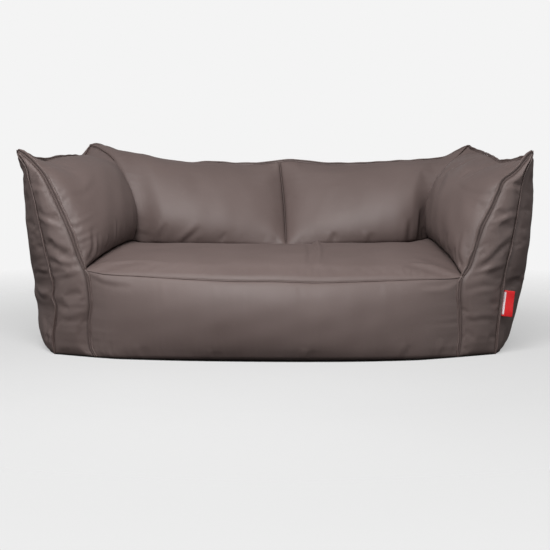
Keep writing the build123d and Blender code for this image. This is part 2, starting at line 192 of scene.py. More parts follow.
def arm_seams(side):
    """The seams round one arm, each as points in order."""
    seams = {
        "front": catmull(mirrored([on_gusset(*p) for p in FRONT_SEAM[side]], side), LOW),
        "inner": catmull(mirrored([on_gusset(*p) for p in INNER_SEAM[side]], side), UP),
        "outer": catmull(mirrored([on_gusset(*p) for p in OUTER_SEAM[side]], side), LOW + UP - 1),
        "corner": catmull(mirrored([on_corner(*p) for p in CORNER_SEAM[side]], side), UP),
    }
    top_depth = CORNER_TOP[1] - PEAK[1]
    top = [(x * PEAK[0], PEAK[1] + f * top_depth, z * TALL) for f, x, z in ARM_TOP[side]]
    seams["top"] = catmull(mirrored(top, side), DEPTH)
    gap = seams["top"][-1] - seams["corner"][-1]
    seams["corner"] = meet(seams["corner"], seams["corner"][0], seams["corner"][-1] + CORNER_CLOSED[side] * gap)
    fork, corner = seams["inner"][0], seams["corner"][0]
    dip = np.array([SIDES[side] * 0.012, 0, 0.012])
    seams["seat"] = catmull([fork, 0.6 * fork + 0.4 * corner + dip, 0.25 * fork + 0.75 * corner + dip, corner], DEPTH)
    foot, rear = seams["outer"][0], mirrored([REAR_FOOT], side)[0]
    side_foot = [foot] + [foot + f * (rear - foot) + (SIDES[side] * out, 0, 0) for f, out in SIDE_FOOT] + [rear]
    seams["foot"] = catmull(side_foot, DEPTH)
    summit = seams["top"][-1]
    rear_line = [rear, rear + (0, 0, 0.12 - LIFT), 0.55 * rear + 0.45 * summit + (SIDES[side] * 0.004, 0, 0), summit]
    seams["rear"] = catmull(rear_line, LOW + UP - 1)
    seams["gusset_foot"] = catmull([seams["front"][0], foot], ACROSS_GUSSET)
    return seams


ARM = {side: arm_seams(side) for side in SIDES}


def back_top_line(points):
    """The seam along the top of the back, which curves towards its rear corners."""
    line = []
    for x, z in points:
        bow = BACK_TOP[1] + (CORNER_TOP[1] - BACK_TOP[1]) * min(abs(x), 1) ** 2
        line.append((x * CORNER_TOP[0], bow, z * TALL))
    return line


def body_seams():
    """The seams that cross the sofa from left to right."""
    left, right = ARM["left"], ARM["right"]
    front = [SEAT_MIDDLE + (x * FORK[0], y, z) for x, y, z in SEAT_FRONT]
    rear = [(x * CORNER_FOOT[0], BACK_FOOT[1] + y, BACK_FOOT[2] + z) for x, y, z in SEAT_REAR]
    foot = [(x * FORK[0], low("front_panel")[1] + FOOT_BACK + y, LIFT) for x, y in FRONT_FOOT]
    top_left = back_top_line(BACK_TOP_LEFT)
    top_right = back_top_line(BACK_TOP_RIGHT)
    top_left[0] = tuple(left["corner"][-1])
    top_right[-1] = tuple(right["corner"][-1])
    whole_rear = catmull([left["corner"][0], *rear, right["corner"][0]], BACK)
    centre_top = np.array(top_right[0])
    centre_foot = whole_rear[HALF_BACK - 1]
    lean = [centre_foot, 0.5 * (centre_foot + centre_top) + (0.004, 0.012, 0), centre_top]
    return {
        "seat_front": catmull([left["inner"][0], *front, right["inner"][0]], BACK),
        "seat_rear": whole_rear,
        "front_foot": catmull([left["front"][0], *foot, right["front"][0]], BACK),
        "rear_foot": catmull([left["rear"][0], right["rear"][0]], BACK),
        "top_left": catmull(top_left, HALF_BACK),
        "top_right": catmull(top_right, HALF_BACK),
        "centre": catmull(lean, UP),
    }


BODY = body_seams()


# ---------------------------------------------------------------- patches

def coons(bottom, top, left, right):
    """A surface between four edges. Bottom and top run from left to right; left and right run up."""
    corners = [0.5 * (a + b) for a, b in ((bottom[0], left[0]), (bottom[-1], right[0]),
                                          (top[0], left[-1]), (top[-1], right[-1]))]
    bottom, top = meet(bottom, corners[0], corners[1]), meet(top, corners[2], corners[3])
    left, right = meet(left, corners[0], corners[2]), meet(right, corners[1], corners[3])
    u = np.linspace(0, 1, len(bottom))[None, :, None]
    v = np.linspace(0, 1, len(left))[:, None, None]
    across = (1 - v) * bottom[None] + v * top[None]
    up = (1 - u) * left[:, None] + u * right[:, None]
    twist = ((1 - u) * (1 - v) * corners[0] + u * (1 - v) * corners[1]
             + (1 - u) * v * corners[2] + u * v * corners[3])
    return across + up - twist


def shares(grid):
    """How far across and up each point of a grid is, from 0 to 1."""
    rows, columns = grid.shape[:2]
    return np.meshgrid(np.linspace(0, 1, columns), np.linspace(0, 1, rows))


def ease(value, start, end):
    t = np.clip((value - start) / (end - start), 0, 1)
    return t * t * (3 - 2 * t)


def unit(vectors):
    return vectors / np.maximum(np.linalg.norm(vectors, axis=-1, keepdims=True), 1e-12)


def normals(grid, inside):
    """Unit normals of a grid, pointing away from the chamber that it covers."""
    n = unit(np.cross(np.gradient(grid, axis=1), np.gradient(grid, axis=0)))
    middle = grid[grid.shape[0] // 2, grid.shape[1] // 2]
    facing = n[grid.shape[0] // 2, grid.shape[1] // 2] @ (middle - inside)
    return n if facing > 0 else -n


def blurred(field, times=4):
    """A grid of vectors, smoothed while its border stays."""
    f = field.copy()
    for _ in range(times):
        f[1:-1, 1:-1] = 0.2 * (f[1:-1, 1:-1] + f[2:, 1:-1] + f[:-2, 1:-1] + f[1:-1, 2:] + f[1:-1, :-2])
    return f


def crown(grid, inside, height, sharp=0.5, lean=0.0, soft_foot=0.0, soft_top=0.0, valley=0.0):
    """Fills a patch out like a pillow. lean over 0 puts the fullest place low, soft_foot makes the sides leave their
    seams more gently near the bottom, and soft_top does so for the top edge. valley holds the lower part back near its left
    edge, or near its right edge if it is under 0."""
    u, v = shares(grid)
    low_v = v ** 2 ** -lean
    full = (4 * u * (1 - u)) ** (sharp + soft_foot * (1 - v)) * (4 * low_v * (1 - low_v)) ** (sharp + soft_top * v)
    near = u if valley > 0 else 1 - u
    full *= 1 - abs(valley) * (1 - v) ** 0.7 * (1 - ease(near, 0.04, 0.20))
    n = unit(blurred(normals(grid, inside), 12))
    return grid + n * (height * full)[:, :, None]


def pressed(grid, inside, place, depth, reach):
    """A patch held in round one place, such as behind a label. Its border stays."""
    u, v = shares(grid)
    away = np.linalg.norm((grid - place) / reach, axis=2)
    border = np.clip(16 * u * (1 - u), 0, 1) * np.clip(16 * v * (1 - v), 0, 1)
    n = unit(blurred(normals(grid, inside), 12))
    return grid - n * (depth * border * np.exp(-away ** 2))[:, :, None]


def inflate(grid, inside, pressure, slack, cap, hold=None, frames=20):
    """Cloth simulation of one panel: sewn along its border, pressed out by the beads, with a little spare cloth."""
    rows, columns = grid.shape[:2]
    facing = normals(grid, inside)[rows // 2, columns // 2]
    natural = np.cross(np.gradient(grid, axis=1), np.gradient(grid, axis=0))[rows // 2, columns // 2]
    obj = grid_object("panel_in_work", grid, flip=natural @ facing < 0)
    border = np.zeros((rows, columns), bool)
    border[[0, -1], :] = True
    border[:, [0, -1]] = True
    if hold is not None:
        border |= hold
    group = obj.vertex_groups.new(name="sewn")
    group.add([int(i) for i in np.flatnonzero(border.ravel())], 1.0, "REPLACE")
    cloth = obj.modifiers.new("Cloth", "CLOTH")
    cloth.settings.vertex_group_mass = "sewn"
    cloth.settings.quality = 5
    cloth.settings.mass = 0.3
    cloth.settings.air_damping = 4
    cloth.settings.tension_stiffness = 15
    cloth.settings.compression_stiffness = 15
    cloth.settings.shear_stiffness = 5
    cloth.settings.bending_stiffness = 3
    cloth.settings.shrink_min = -slack
    cloth.settings.use_pressure = True
    cloth.settings.uniform_pressure_force = pressure
    cloth.settings.effector_weights.gravity = 0
    cloth.point_cache.frame_start = 1
    cloth.point_cache.frame_end = frames
    scene = bpy.context.scene
    for number in range(1, frames + 1):
        scene.frame_set(number)
    shaped = obj.evaluated_get(bpy.context.evaluated_depsgraph_get())
    co = np.zeros(rows * columns * 3)
    shaped.data.vertices.foreach_get("co", co)
    scene.frame_set(1)
    mesh = obj.data
    bpy.data.objects.remove(obj)
    bpy.data.meshes.remove(mesh)
    move = co.reshape(rows, columns, 3) - grid
    far = np.linalg.norm(move, axis=2, keepdims=True)
    return grid + move * cap / np.maximum(cap, far)


def doubled(grid):
    """The grid with a point added between each pair of neighbours, on a smooth curve."""
    for axis in (0, 1):
        g = np.moveaxis(grid, axis, 0)
        ends = np.concatenate([2 * g[:1] - g[1:2], g, 2 * g[-1:] - g[-2:-1]])
        middle = (9 * (ends[1:-2] + ends[2:-1]) - ends[:-3] - ends[3:]) / 16
        out = np.empty((2 * len(g) - 1, *g.shape[1:]))
        out[0::2], out[1::2] = g, middle
        grid = np.moveaxis(out, 0, axis)
    return grid


def flat_places(grid):
    """Each point's place on the panel laid flat, in metres."""
    u, v = shares(grid)
    wide = np.linalg.norm(np.diff(grid, axis=1), axis=2).sum(1).mean()
    tall = np.linalg.norm(np.diff(grid, axis=0), axis=2).sum(0).mean()
    return u * wide, v * tall, wide, tall


def smooth_random(x, seed, shortest, longest, waves=7):
    """An irregular wave along x, about 1 high."""
    rng = np.random.default_rng(seed)
    total = np.zeros_like(x)
    for _ in range(waves):
        total += np.sin(2 * np.pi * x / rng.uniform(shortest, longest) + rng.uniform(0, 2 * np.pi))
    return total / math.sqrt(waves)


def rolling(grid, seed, height, shortest=0.09, longest=0.34, waves=9):
    """A gently uneven surface, from bead-filled cloth that has settled."""
    x, y, _, _ = flat_places(grid)
    rng = np.random.default_rng(seed)
    total = np.zeros_like(x)
    for _ in range(waves):
        turn = rng.uniform(0, math.pi)
        step = rng.uniform(shortest, longest)
        total += np.sin(2 * np.pi * (x * math.cos(turn) + y * math.sin(turn)) / step + rng.uniform(0, 2 * math.pi))
    u, v = shares(grid)
    edge = np.clip((4 * u * (1 - u)), 0, 1) ** 0.5 * np.clip((4 * v * (1 - v)), 0, 1) ** 0.5
    return height * edge * total / math.sqrt(waves)


def puckers(grid, seed, height, reach=0.045, edges="blrt"):
    """Short gathers that run into the seams."""
    x, y, wide, tall = flat_places(grid)
    total = np.zeros_like(x)
    for number, (edge, along, away) in enumerate((("b", x, y), ("t", x, tall - y), ("l", y, x), ("r", y, wide - x))):
        if edge not in edges:
            continue
        near = away / reach
        wave = smooth_random(along, seed * 7 + number, 0.022, 0.075)
        fade = smooth_random(along, seed * 11 + number, 0.15, 0.5, 4)
        total += wave * np.clip(0.55 + 0.45 * fade, 0, 1.3) * near * np.exp(1 - 1.35 * near)
    return height * total


def fold(grid, points, height, width, blunt=0.0):
    """A crease along a few points (share across, share up): one side rises and the other sinks."""
    x, y, wide, tall = flat_places(grid)
    line = catmull([(u * wide, v * tall, 0) for u, v in points], 40)[:, :2]
    best = np.full(x.shape, 1e9)
    signed = np.zeros_like(x)
    along = np.zeros_like(x)
    for i in range(len(line) - 1):
        a, d = line[i], line[i + 1] - line[i]
        length = max(np.hypot(*d), 1e-9)
        t = np.clip(((x - a[0]) * d[0] + (y - a[1]) * d[1]) / length ** 2, 0, 1)
        px, py = x - (a[0] + t * d[0]), y - (a[1] + t * d[1])
        dist = np.hypot(px, py)
        closer = dist < best
        best = np.where(closer, dist, best)
        signed = np.where(closer, np.sign(d[0] * py - d[1] * px) * dist, signed)
        along = np.where(closer, (i + t) / (len(line) - 1), along)
    taper = np.sin(np.pi * np.clip(along, 0, 1)) ** 0.6
    t = signed / width
    rise = 1.5 * t * np.exp(-t * t) + blunt * np.exp(-t * t)
    return height * taper * rise


def grid_object(name, grid, flip=False):
    rows, columns = grid.shape[:2]
    at = np.arange(rows * columns).reshape(rows, columns)
    quads = np.stack([at[:-1, :-1], at[:-1, 1:], at[1:, 1:], at[1:, :-1]], 2).reshape(-1, 4)
    if flip:
        quads = quads[:, ::-1]
    mesh = bpy.data.meshes.new(name)
    mesh.from_pydata(grid.reshape(-1, 3).tolist(), [], quads.tolist())
    obj = bpy.data.objects.new(name, mesh)
    bpy.context.scene.collection.objects.link(obj)
    return obj


def shell(name, grid, inside, thick, material, keep=None):
    """A closed skin: the grid outside, and its offset inside. keep marks the faces that stay."""
    rows, columns = grid.shape[:2]
    n = normals(grid, inside)
    points = np.concatenate([grid.reshape(-1, 3), (grid - thick * n).reshape(-1, 3)])
    at = np.arange(rows * columns).reshape(rows, columns)
    quads = np.stack([at[:-1, :-1], at[:-1, 1:], at[1:, 1:], at[1:, :-1]], 2).reshape(-1, 4)
    if keep is not None:
        quads = quads[keep.ravel()]
    natural = np.cross(np.gradient(grid, axis=1), np.gradient(grid, axis=0))[rows // 2, columns // 2]
    if natural @ n[rows // 2, columns // 2] < 0:
        quads = quads[:, ::-1]
    edges = np.concatenate([quads[:, [k, (k + 1) % 4]] for k in range(4)])
    seen = {tuple(e) for e in edges.tolist()}
    rim = [(a, b) for a, b in seen if (b, a) not in seen]
    count = rows * columns
    faces = quads.tolist() + (quads[:, ::-1] + count).tolist() + [(b, a, a + count, b + count) for a, b in sorted(rim)]
    return solid(name, points.tolist(), faces, material)


def solid(name, points, faces, material, smooth=True):
    mesh = bpy.data.meshes.new(name)
    mesh.from_pydata(points, [], faces)
    work = bmesh.new()
    work.from_mesh(mesh)
    loose = [v for v in work.verts if not v.link_faces]
    bmesh.ops.delete(work, geom=loose, context="VERTS")
    bmesh.ops.recalc_face_normals(work, faces=work.faces)
    work.to_mesh(mesh)
    work.free()
    mesh.polygons.foreach_set("use_smooth", [smooth] * len(mesh.polygons))
    obj = bpy.data.objects.new(name, mesh)
    bpy.context.scene.collection.objects.link(obj)
    mesh.materials.append(material)
    return obj


# ---------------------------------------------------------------- materials

FLOOR_CLEAR = 1.35
FLOOR_END = 3.1
FLOOR_GLOW = 0.42
BACKDROP = 0.905


def srgb(red, green, blue):
    """A colour given as 0 to 255 on a screen, as the linear values that nodes take."""
    def linear(value):
        value /= 255
        return value / 12.92 if value <= 0.04045 else ((value + 0.055) / 1.055) ** 2.4
    return (linear(red), linear(green), linear(blue), 1)


class Nodes:
    """Builds one procedural material."""

    def __init__(self, name, roughness=0.5, specular=0.5):
        self.material = bpy.data.materials.new(name)
        self.material.use_nodes = True
        self.tree = self.material.node_tree
        self.shader = self.tree.nodes["Principled BSDF"]
        self.shader.inputs["Roughness"].default_value = roughness
        self.shader.inputs["Specular IOR Level"].default_value = specular
        self.place = self.add("ShaderNodeTexCoord").outputs["Object"]

    def add(self, kind, **settings):
        node = self.tree.nodes.new(kind)
        for key, value in settings.items():
            setattr(node, key, value)
        return node

    def feed(self, socket, value):
        if isinstance(value, bpy.types.NodeSocket):
            self.tree.links.new(value, socket)
        else:
            socket.default_value = value

    def noise(self, scale, detail=3.0, roughness=0.5, distortion=0.0, stretch=None):
        node = self.add("ShaderNodeTexNoise")
        self.feed(node.inputs["Vector"], self.stretched(stretch))
        for key, value in (("Scale", scale), ("Detail", detail), ("Roughness", roughness), ("Distortion", distortion)):
            self.feed(node.inputs[key], value)
        return node.outputs["Fac"]

    def cells(self, scale, feature="F1", randomness=1.0):
        node = self.add("ShaderNodeTexVoronoi", feature=feature)
        self.feed(node.inputs["Vector"], self.place)
        self.feed(node.inputs["Scale"], scale)
        self.feed(node.inputs["Randomness"], randomness)
        return node.outputs["Distance"]

    def wave(self, scale, direction, distortion=0.0):
        node = self.add("ShaderNodeTexWave", bands_direction=direction)
        self.feed(node.inputs["Vector"], self.place)
        self.feed(node.inputs["Scale"], scale)
        self.feed(node.inputs["Distortion"], distortion)
        return node.outputs["Fac"]

    def stretched(self, stretch):
        if stretch is None:
            return self.place
        node = self.add("ShaderNodeMapping")
        self.feed(node.inputs["Vector"], self.place)
        node.inputs["Scale"].default_value = stretch
        return node.outputs["Vector"]

    def sums(self, operation, a, b):
        node = self.add("ShaderNodeMath", operation=operation)
        self.feed(node.inputs[0], a)
        self.feed(node.inputs[1], b)
        return node.outputs[0]

    def span(self, value, low_in, high_in, low_out, high_out):
        node = self.add("ShaderNodeMapRange")
        for key, number in (("Value", value), ("From Min", low_in), ("From Max", high_in),
                            ("To Min", low_out), ("To Max", high_out)):
            self.feed(node.inputs[key], number)
        return node.outputs[0]

    def blend(self, factor, a, b):
        node = self.add("ShaderNodeMix", data_type="RGBA")
        self.feed(node.inputs["Factor"], factor)
        self.feed(node.inputs[6], a)
        self.feed(node.inputs[7], b)
        return node.outputs[2]

    def attribute(self, name):
        return self.add("ShaderNodeAttribute", attribute_name=name).outputs["Fac"]

    def bump(self, layers):
        """Layers of (height, strength, distance), each added on the last."""
        normal = None
        for height, strength, distance in layers:
            node = self.add("ShaderNodeBump")
            node.inputs["Strength"].default_value = strength
            node.inputs["Distance"].default_value = distance
            self.feed(node.inputs["Height"], height)
            if normal is not None:
                self.feed(node.inputs["Normal"], normal)
            normal = node.outputs["Normal"]
        self.feed(self.shader.inputs["Normal"], normal)


PAINTED_SEAM_SHADE = srgb(36, 26, 23)      # painted shade: the leather is darkened down in its seams


def leather(name, dark, light, worn, roughness=(0.56, 0.68)):
    """Coated faux leather: pebbled grain, fine pores, faint creasing, uneven colour and gloss, and painted shade along
    its seams.
    """
    n = Nodes(name, specular=0.42)
    tone = n.span(n.noise(4.0, 3, 0.5), 0.25, 0.75, 0, 1)
    colour = n.blend(tone, dark, light)
    rub = n.span(n.noise(30, 5, 0.65), 0.58, 0.80, 0, 0.22)
    colour = n.blend(rub, colour, worn)
    colour = n.blend(n.span(n.attribute("crest"), 0.35, 1.0, 0, 0.3), colour, worn)
    # painted shade: the leather is darkened towards its seams
    colour = n.blend(n.span(n.attribute("painted_crevice_shade"), 0.0, 1.0, 0, 0.8), colour, PAINTED_SEAM_SHADE)
    n.feed(n.shader.inputs["Base Color"], colour)
    gloss = n.sums("ADD", n.noise(3.2, 3, 0.5), n.sums("MULTIPLY", n.noise(160, 2, 0.5), 0.25))
    n.feed(n.shader.inputs["Roughness"], n.span(gloss, 0.35, 0.85, *roughness))
    n.bump([
        (n.noise(22, 4, 0.55, 0.4), 0.16, 0.0014),
        (n.cells(420, "SMOOTH_F1"), 0.30, 0.0005),
        (n.cells(1150), 0.22, 0.0002),
        (n.noise(2600, 2, 0.5), 0.12, 0.0001),
    ])
    return n.material


def cloth(name, colour, shade, threads, roughness=0.85, depth=0.0004):
    """Plain woven cloth."""
    n = Nodes(name, roughness, 0.25)
    weave = n.sums("MULTIPLY", n.wave(threads, "X", 0.4), n.wave(threads, "Z", 0.4))
    patchy = n.noise(9, 4, 0.6)
    n.feed(n.shader.inputs["Base Color"], n.blend(n.span(n.sums("ADD", weave, patchy), 0.2, 1.4, 0, 1), shade, colour))
    n.bump([(weave, 0.5, depth), (n.noise(700, 3, 0.6), 0.2, 0.0002)])
    return n.material


def beads(name, colour, shade):
    """A bag of expanded polystyrene beads."""
    n = Nodes(name, 0.7, 0.3)
    balls = n.cells(260)
    n.feed(n.shader.inputs["Base Color"], n.blend(n.span(balls, 0.1, 0.7, 0, 1), colour, shade))
    n.bump([(n.span(balls, 0, 0.7, 1, 0), 0.8, 0.002), (n.noise(900, 2, 0.5), 0.1, 0.0002)])
    return n.material


def enamel(name, colour, worn, metallic, roughness):
    """Painted or bare metal, or moulded plastic, scuffed where it is handled."""
    n = Nodes(name, roughness)
    n.shader.inputs["Metallic"].default_value = metallic
    scuff = n.span(n.noise(420, 6, 0.7), 0.55, 0.75, 0, 0.6)
    n.feed(n.shader.inputs["Base Color"], n.blend(scuff, colour, worn))
    n.feed(n.shader.inputs["Roughness"], n.span(n.noise(900, 3, 0.6), 0.3, 0.7, roughness - 0.1, roughness + 0.15))
    n.bump([(n.noise(1800, 3, 0.6), 0.15, 0.0001)])
    return n.material


def floor_paint():
    """A pale floor, partly lit from within, that fades into the backdrop."""
    n = Nodes("studio_floor", 0.8, 0.1)
    tone = n.blend(n.noise(1.2, 3, 0.5), srgb(124, 124, 124), srgb(128, 128, 128))
    n.feed(n.shader.inputs["Base Color"], tone)
    n.shader.inputs["Emission Color"].default_value = (1, 1, 1, 1)
    n.shader.inputs["Emission Strength"].default_value = FLOOR_GLOW
    n.bump([(n.noise(60, 3, 0.6), 0.05, 0.001)])
    away = n.add("ShaderNodeVectorMath", operation="LENGTH")
    n.feed(away.inputs[0], n.place)
    n.feed(n.shader.inputs["Alpha"], n.span(away.outputs["Value"], FLOOR_CLEAR, FLOOR_END, 1, 0))
    return n.material


def backdrop_paint():
    """A plain pale surround, lit from within."""
    n = Nodes("studio_backdrop", 1.0, 0.0)
    n.shader.inputs["Base Color"].default_value = (0, 0, 0, 1)
    n.shader.inputs["Emission Color"].default_value = (1, 1, 1, 1)
    n.feed(n.shader.inputs["Emission Strength"], n.span(n.noise(0.02, 1, 0.5), 0, 1, BACKDROP - 0.002, BACKDROP + 0.002))
    return n.material


LEATHER = leather("faux_leather", srgb(82, 69, 66), srgb(89, 76, 73), srgb(102, 89, 85))
WELT_LEATHER = leather("faux_leather_welt", srgb(72, 59, 56), srgb(84, 70, 67), srgb(98, 84, 80), (0.50, 0.62))
THREAD = cloth("seam_thread", srgb(66, 53, 49), srgb(40, 31, 28), 900, 0.6, 0.0002)
BASE_CLOTH = cloth("base_cloth", srgb(34, 33, 33), srgb(16, 16, 16), 330)
LINING = cloth("lining_cloth", srgb(86, 78, 72), srgb(58, 52, 48), 420)
LINER = cloth("liner_cloth", srgb(228, 226, 220), srgb(196, 194, 188), 420)
BEADS = beads("bead_fill", srgb(246, 246, 244), srgb(196, 196, 192))
ZIP_TAPE = cloth("zip_tape", srgb(40, 33, 31), srgb(22, 18, 17), 700)
ZIP_PLASTIC = enamel("zip_plastic", srgb(38, 31, 29), srgb(70, 62, 58), 0.0, 0.38)
ZIP_METAL = enamel("zip_metal", srgb(52, 48, 46), srgb(150, 148, 145), 0.8, 0.34)


# ---------------------------------------------------------------- cover panels

INSIDE_ARM = {side: np.array([s * 0.80, 0.06, 0.33]) for side, s in SIDES.items()}
INSIDE_SEAT = np.array([0, -0.18, 0.15])
INSIDE_BACK = np.array([0, 0.33, 0.33])


SEAM_SHADE = 0.0042     # how far from a seam the leather is darkened by painted shade


def seam_nearness(grid, edges):
    """1 on these edges of the panel, falling to 0 a little way in: where the leather gets painted shade."""
    x, y, wide, tall = flat_places(grid)
    away = np.minimum.reduce([d for edge, d in zip("blrt", (y, x, wide - x, tall - y)) if edge in edges])
    return np.exp(-(away / SEAM_SHADE) ** 2)


def dress(obj, slot, *nodes, fill=None):
    """Attaches a piece to the sofa's body and hides the CAD nodes that it stands in for."""
    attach(obj, "sofa")
    if nodes:
        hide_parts(*nodes)
    return obj


def panel(name, node, grid, inside, seed, pressure=2.0, slack=0.02, cap=0.014, roll=0.0025, pucker=0.0022,
          folds=(), hold=None, keep=None, edges="blrt", dark="blrt"):
    """One cover panel: blown out by simulation, then creased, and made a closed skin."""
    shaped = doubled(inflate(grid, inside, pressure, slack, cap, hold))
    relief = rolling(shaped, seed, roll) + puckers(shaped, seed, pucker, edges=edges)
    for crease in folds:
        relief = relief + fold(shaped, *crease)
    relief[[0, -1], :] = 0
    relief[:, [0, -1]] = 0
    if hold is not None:
        soft = doubled(np.repeat(hold[:, :, None].astype(float), 3, axis=2))[:, :, 0]
        relief *= 1 - np.clip(soft, 0, 1)
    shaped = shaped + blurred(normals(shaped, inside), 3) * relief[:, :, None]
    obj = shell(name, shaped, inside, COVER, LEATHER, keep)
    # painted shade along the seams on the edges listed in dark
    near = np.tile(seam_nearness(shaped, dark).ravel(), 2)
    if len(near) == len(obj.data.vertices):
        obj.data.attributes.new("painted_crevice_shade", "FLOAT", "POINT").data.foreach_set("value", near)
    dress(obj, "leather", node, fill=0.85)
    return obj, shaped


SURFACES = {}


def arm_panels(side, seed):
    s, seams, inside = side, ARM[side], INSIDE_ARM[side]
    inner_edge = np.concatenate([seams["front"], seams["inner"][1:]])
    top = catmull([seams["inner"][-1], seams["outer"][-1] + (SIDES[s] * 0.004, -0.002, 0)], ACROSS_GUSSET)
    gusset = crown(coons(seams["gusset_foot"], top, inner_edge, seams["outer"]), inside, 0.024, 0.5)
    SURFACES[s + "_front"] = panel(
        f"{s}_arm_front_cover", f"{s}_arm_front_panel", gusset, inside, seed, 1.2, 0.005, 0.006, 0.0010, 0.0006,
        GUSSET_FOLDS[s])
    inner = coons(seams["seat"], seams["top"], seams["inner"], seams["corner"])
    inner = crown(inner, inside, 0.072, 0.5, lean=0.4, soft_top=0.7)
    SURFACES[s + "_inner"] = panel(
        f"{s}_arm_inner_cover", f"{s}_arm_inner_panel", inner, inside, seed + 1, 2.0, 0.006, 0.010, 0.0022, 0.0011,
        INNER_FOLDS[s])
    outer = coons(seams["foot"], seams["top"], seams["outer"], seams["rear"])
    outer = crown(outer, inside, OUTER_BULGE[s], 0.34, lean=OUTER_LEAN[s], soft_foot=0.45)
    if s == LABEL_SIDE:
        behind = 0.5 * (low("side_label") + high("side_label")) + LABEL_HOLLOW_PLACE
        outer = pressed(outer, inside, behind, LABEL_HOLLOW, (0.07, 0.07, 0.085))
    SURFACES[s + "_outer"] = panel(
        f"{s}_arm_outer_cover", f"{s}_arm_outer_panel", outer, inside, seed + 2, 2.0, 0.006, 0.010, 0.0025, 0.0014,
        OUTER_FOLDS[s])


LABEL_SIDE = "right"
LABEL_HOLLOW = 0.030      # the arm is held in this far behind the label
LABEL_HOLLOW_PLACE = np.array([0.018, 0.030, 0.0])
OUTER_BULGE = {"left": 0.100, "right": 0.120}
OUTER_LEAN = {"left": -0.45, "right": -0.60}

# Creases: the points as (share across, share up), the height and the width in metres
GUSSET_FOLDS = {
    "left": [
        ([(0.02, 0.45), (0.35, 0.50), (0.80, 0.57)], 0.0050, 0.020),
        ([(0.00, 0.43), (0.35, 0.43), (0.95, 0.475)], 0.0043, 0.017),
        ([(1.00, 0.685), (0.6, 0.65), (0.10, 0.605)], 0.0043, 0.016),
        ([(1.00, 0.80), (0.5, 0.795), (0.10, 0.77)], 0.0030, 0.014),
        ([(0.05, 0.385), (0.5, 0.375), (0.98, 0.37)], 0.0030, 0.016),
        ([(0.02, 0.20), (0.5, 0.18), (0.98, 0.20)], 0.0026, 0.018),
    ],
    "right": [
        ([(0.00, 0.405), (0.30, 0.47), (0.65, 0.54), (0.98, 0.575)], 0.0056, 0.021),
        ([(0.02, 0.395), (0.45, 0.42), (0.98, 0.43)], 0.0040, 0.017),
        ([(1.00, 0.70), (0.5, 0.675), (0.10, 0.64)], 0.0040, 0.016),
        ([(1.00, 0.81), (0.5, 0.81), (0.10, 0.80)], 0.0030, 0.014),
        ([(0.98, 0.31), (0.5, 0.33), (0.05, 0.31)], 0.0030, 0.017),
        ([(0.02, 0.17), (0.5, 0.19), (0.98, 0.17)], 0.0026, 0.018),
    ],
}


def gathers(places, up, height, width, lean=0.0, bottom=0.0):
    """Short creases that rise from a seam."""
    return [([(u, bottom), (u + 0.4 * lean, bottom + 0.5 * v), (u + lean, bottom + v)], height, width)
            for u, v in zip(places, up)]


INNER_FOLDS = {
    "left": gathers((0.16, 0.30, 0.45, 0.62, 0.80), (0.20, 0.16, 0.22, 0.18, 0.22), 0.0036, 0.014, 0.02)
    + [([(0.02, 0.03), (0.10, 0.12), (0.13, 0.26)], 0.0048, 0.019),
       ([(0.03, 0.55), (0.22, 0.52), (0.42, 0.56)], 0.0020, 0.022)],
    "right": gathers((0.15, 0.28, 0.44, 0.60, 0.76, 0.88), (0.18, 0.22, 0.16, 0.20, 0.24, 0.18), 0.0036, 0.014, -0.02)
    + [([(0.02, 0.03), (0.09, 0.14), (0.10, 0.28)], 0.0048, 0.019),
       ([(0.02, 0.62), (0.2, 0.58), (0.45, 0.60)], 0.0020, 0.022)],
}
OUTER_FOLDS = {
    "left": gathers((0.04, 0.15, 0.32, 0.55, 0.8), (0.16, 0.10, 0.12, 0.10, 0.12), 0.0038, 0.018, 0.03)
    + [([(0.0, 0.30), (0.10, 0.28), (0.22, 0.31)], 0.005, 0.016),
       ([(0.0, 0.40), (0.12, 0.42), (0.20, 0.40)], 0.004, 0.014)],
    "right": gathers((0.06, 0.18, 0.36, 0.58, 0.82), (0.12, 0.12, 0.10, 0.12, 0.10), 0.0038, 0.018, 0.03)
    + [([(0.0, 0.36), (0.10, 0.38), (0.24, 0.35)], 0.005, 0.016)],
}
SEAT_FOLDS = [
    ([(0.530, 0.88), (0.552, 0.94), (0.576, 0.90), (0.592, 0.74), (0.602, 0.48), (0.604, 0.12)], 0.0125, 0.015),
    ([(0.558, 0.84), (0.574, 0.76), (0.584, 0.58), (0.589, 0.38), (0.590, 0.18)], 0.0085, 0.012),
    ([(0.03, 0.10), (0.12, 0.16), (0.22, 0.12)], 0.003, 0.018),
    ([(0.97, 0.12), (0.88, 0.20), (0.80, 0.18)], 0.003, 0.018),
]
BACK_FOLDS = {
    "left": [([(0.30, 0.0), (0.35, 0.07), (0.43, 0.16)], 0.0055, 0.020),
             ([(0.17, 0.0), (0.18, 0.08), (0.20, 0.16)], 0.0055, 0.018),
             ([(0.08, 0.90), (0.40, 0.87), (0.8, 0.9)], 0.003, 0.02)],
    "right": gathers((0.28, 0.52, 0.76, 0.86), (0.10, 0.10, 0.20, 0.26), 0.0050, 0.019, 0.02)
    + [([(0.15, 0.9), (0.5, 0.87), (0.9, 0.88)], 0.003, 0.02)],
}
FRONT_FOLDS = gathers((0.05, 0.14, 0.33, 0.58, 0.83, 0.94), (0.22, 0.18, 0.14, 0.16, 0.2, 0.24), 0.0022, 0.020, 0.01) + [
    ([(0.0, 0.97), (0.06, 0.90), (0.13, 0.89)], 0.0028, 0.015),
    ([(1.0, 0.96), (0.95, 0.89), (0.88, 0.88)], 0.0030, 0.015),
]


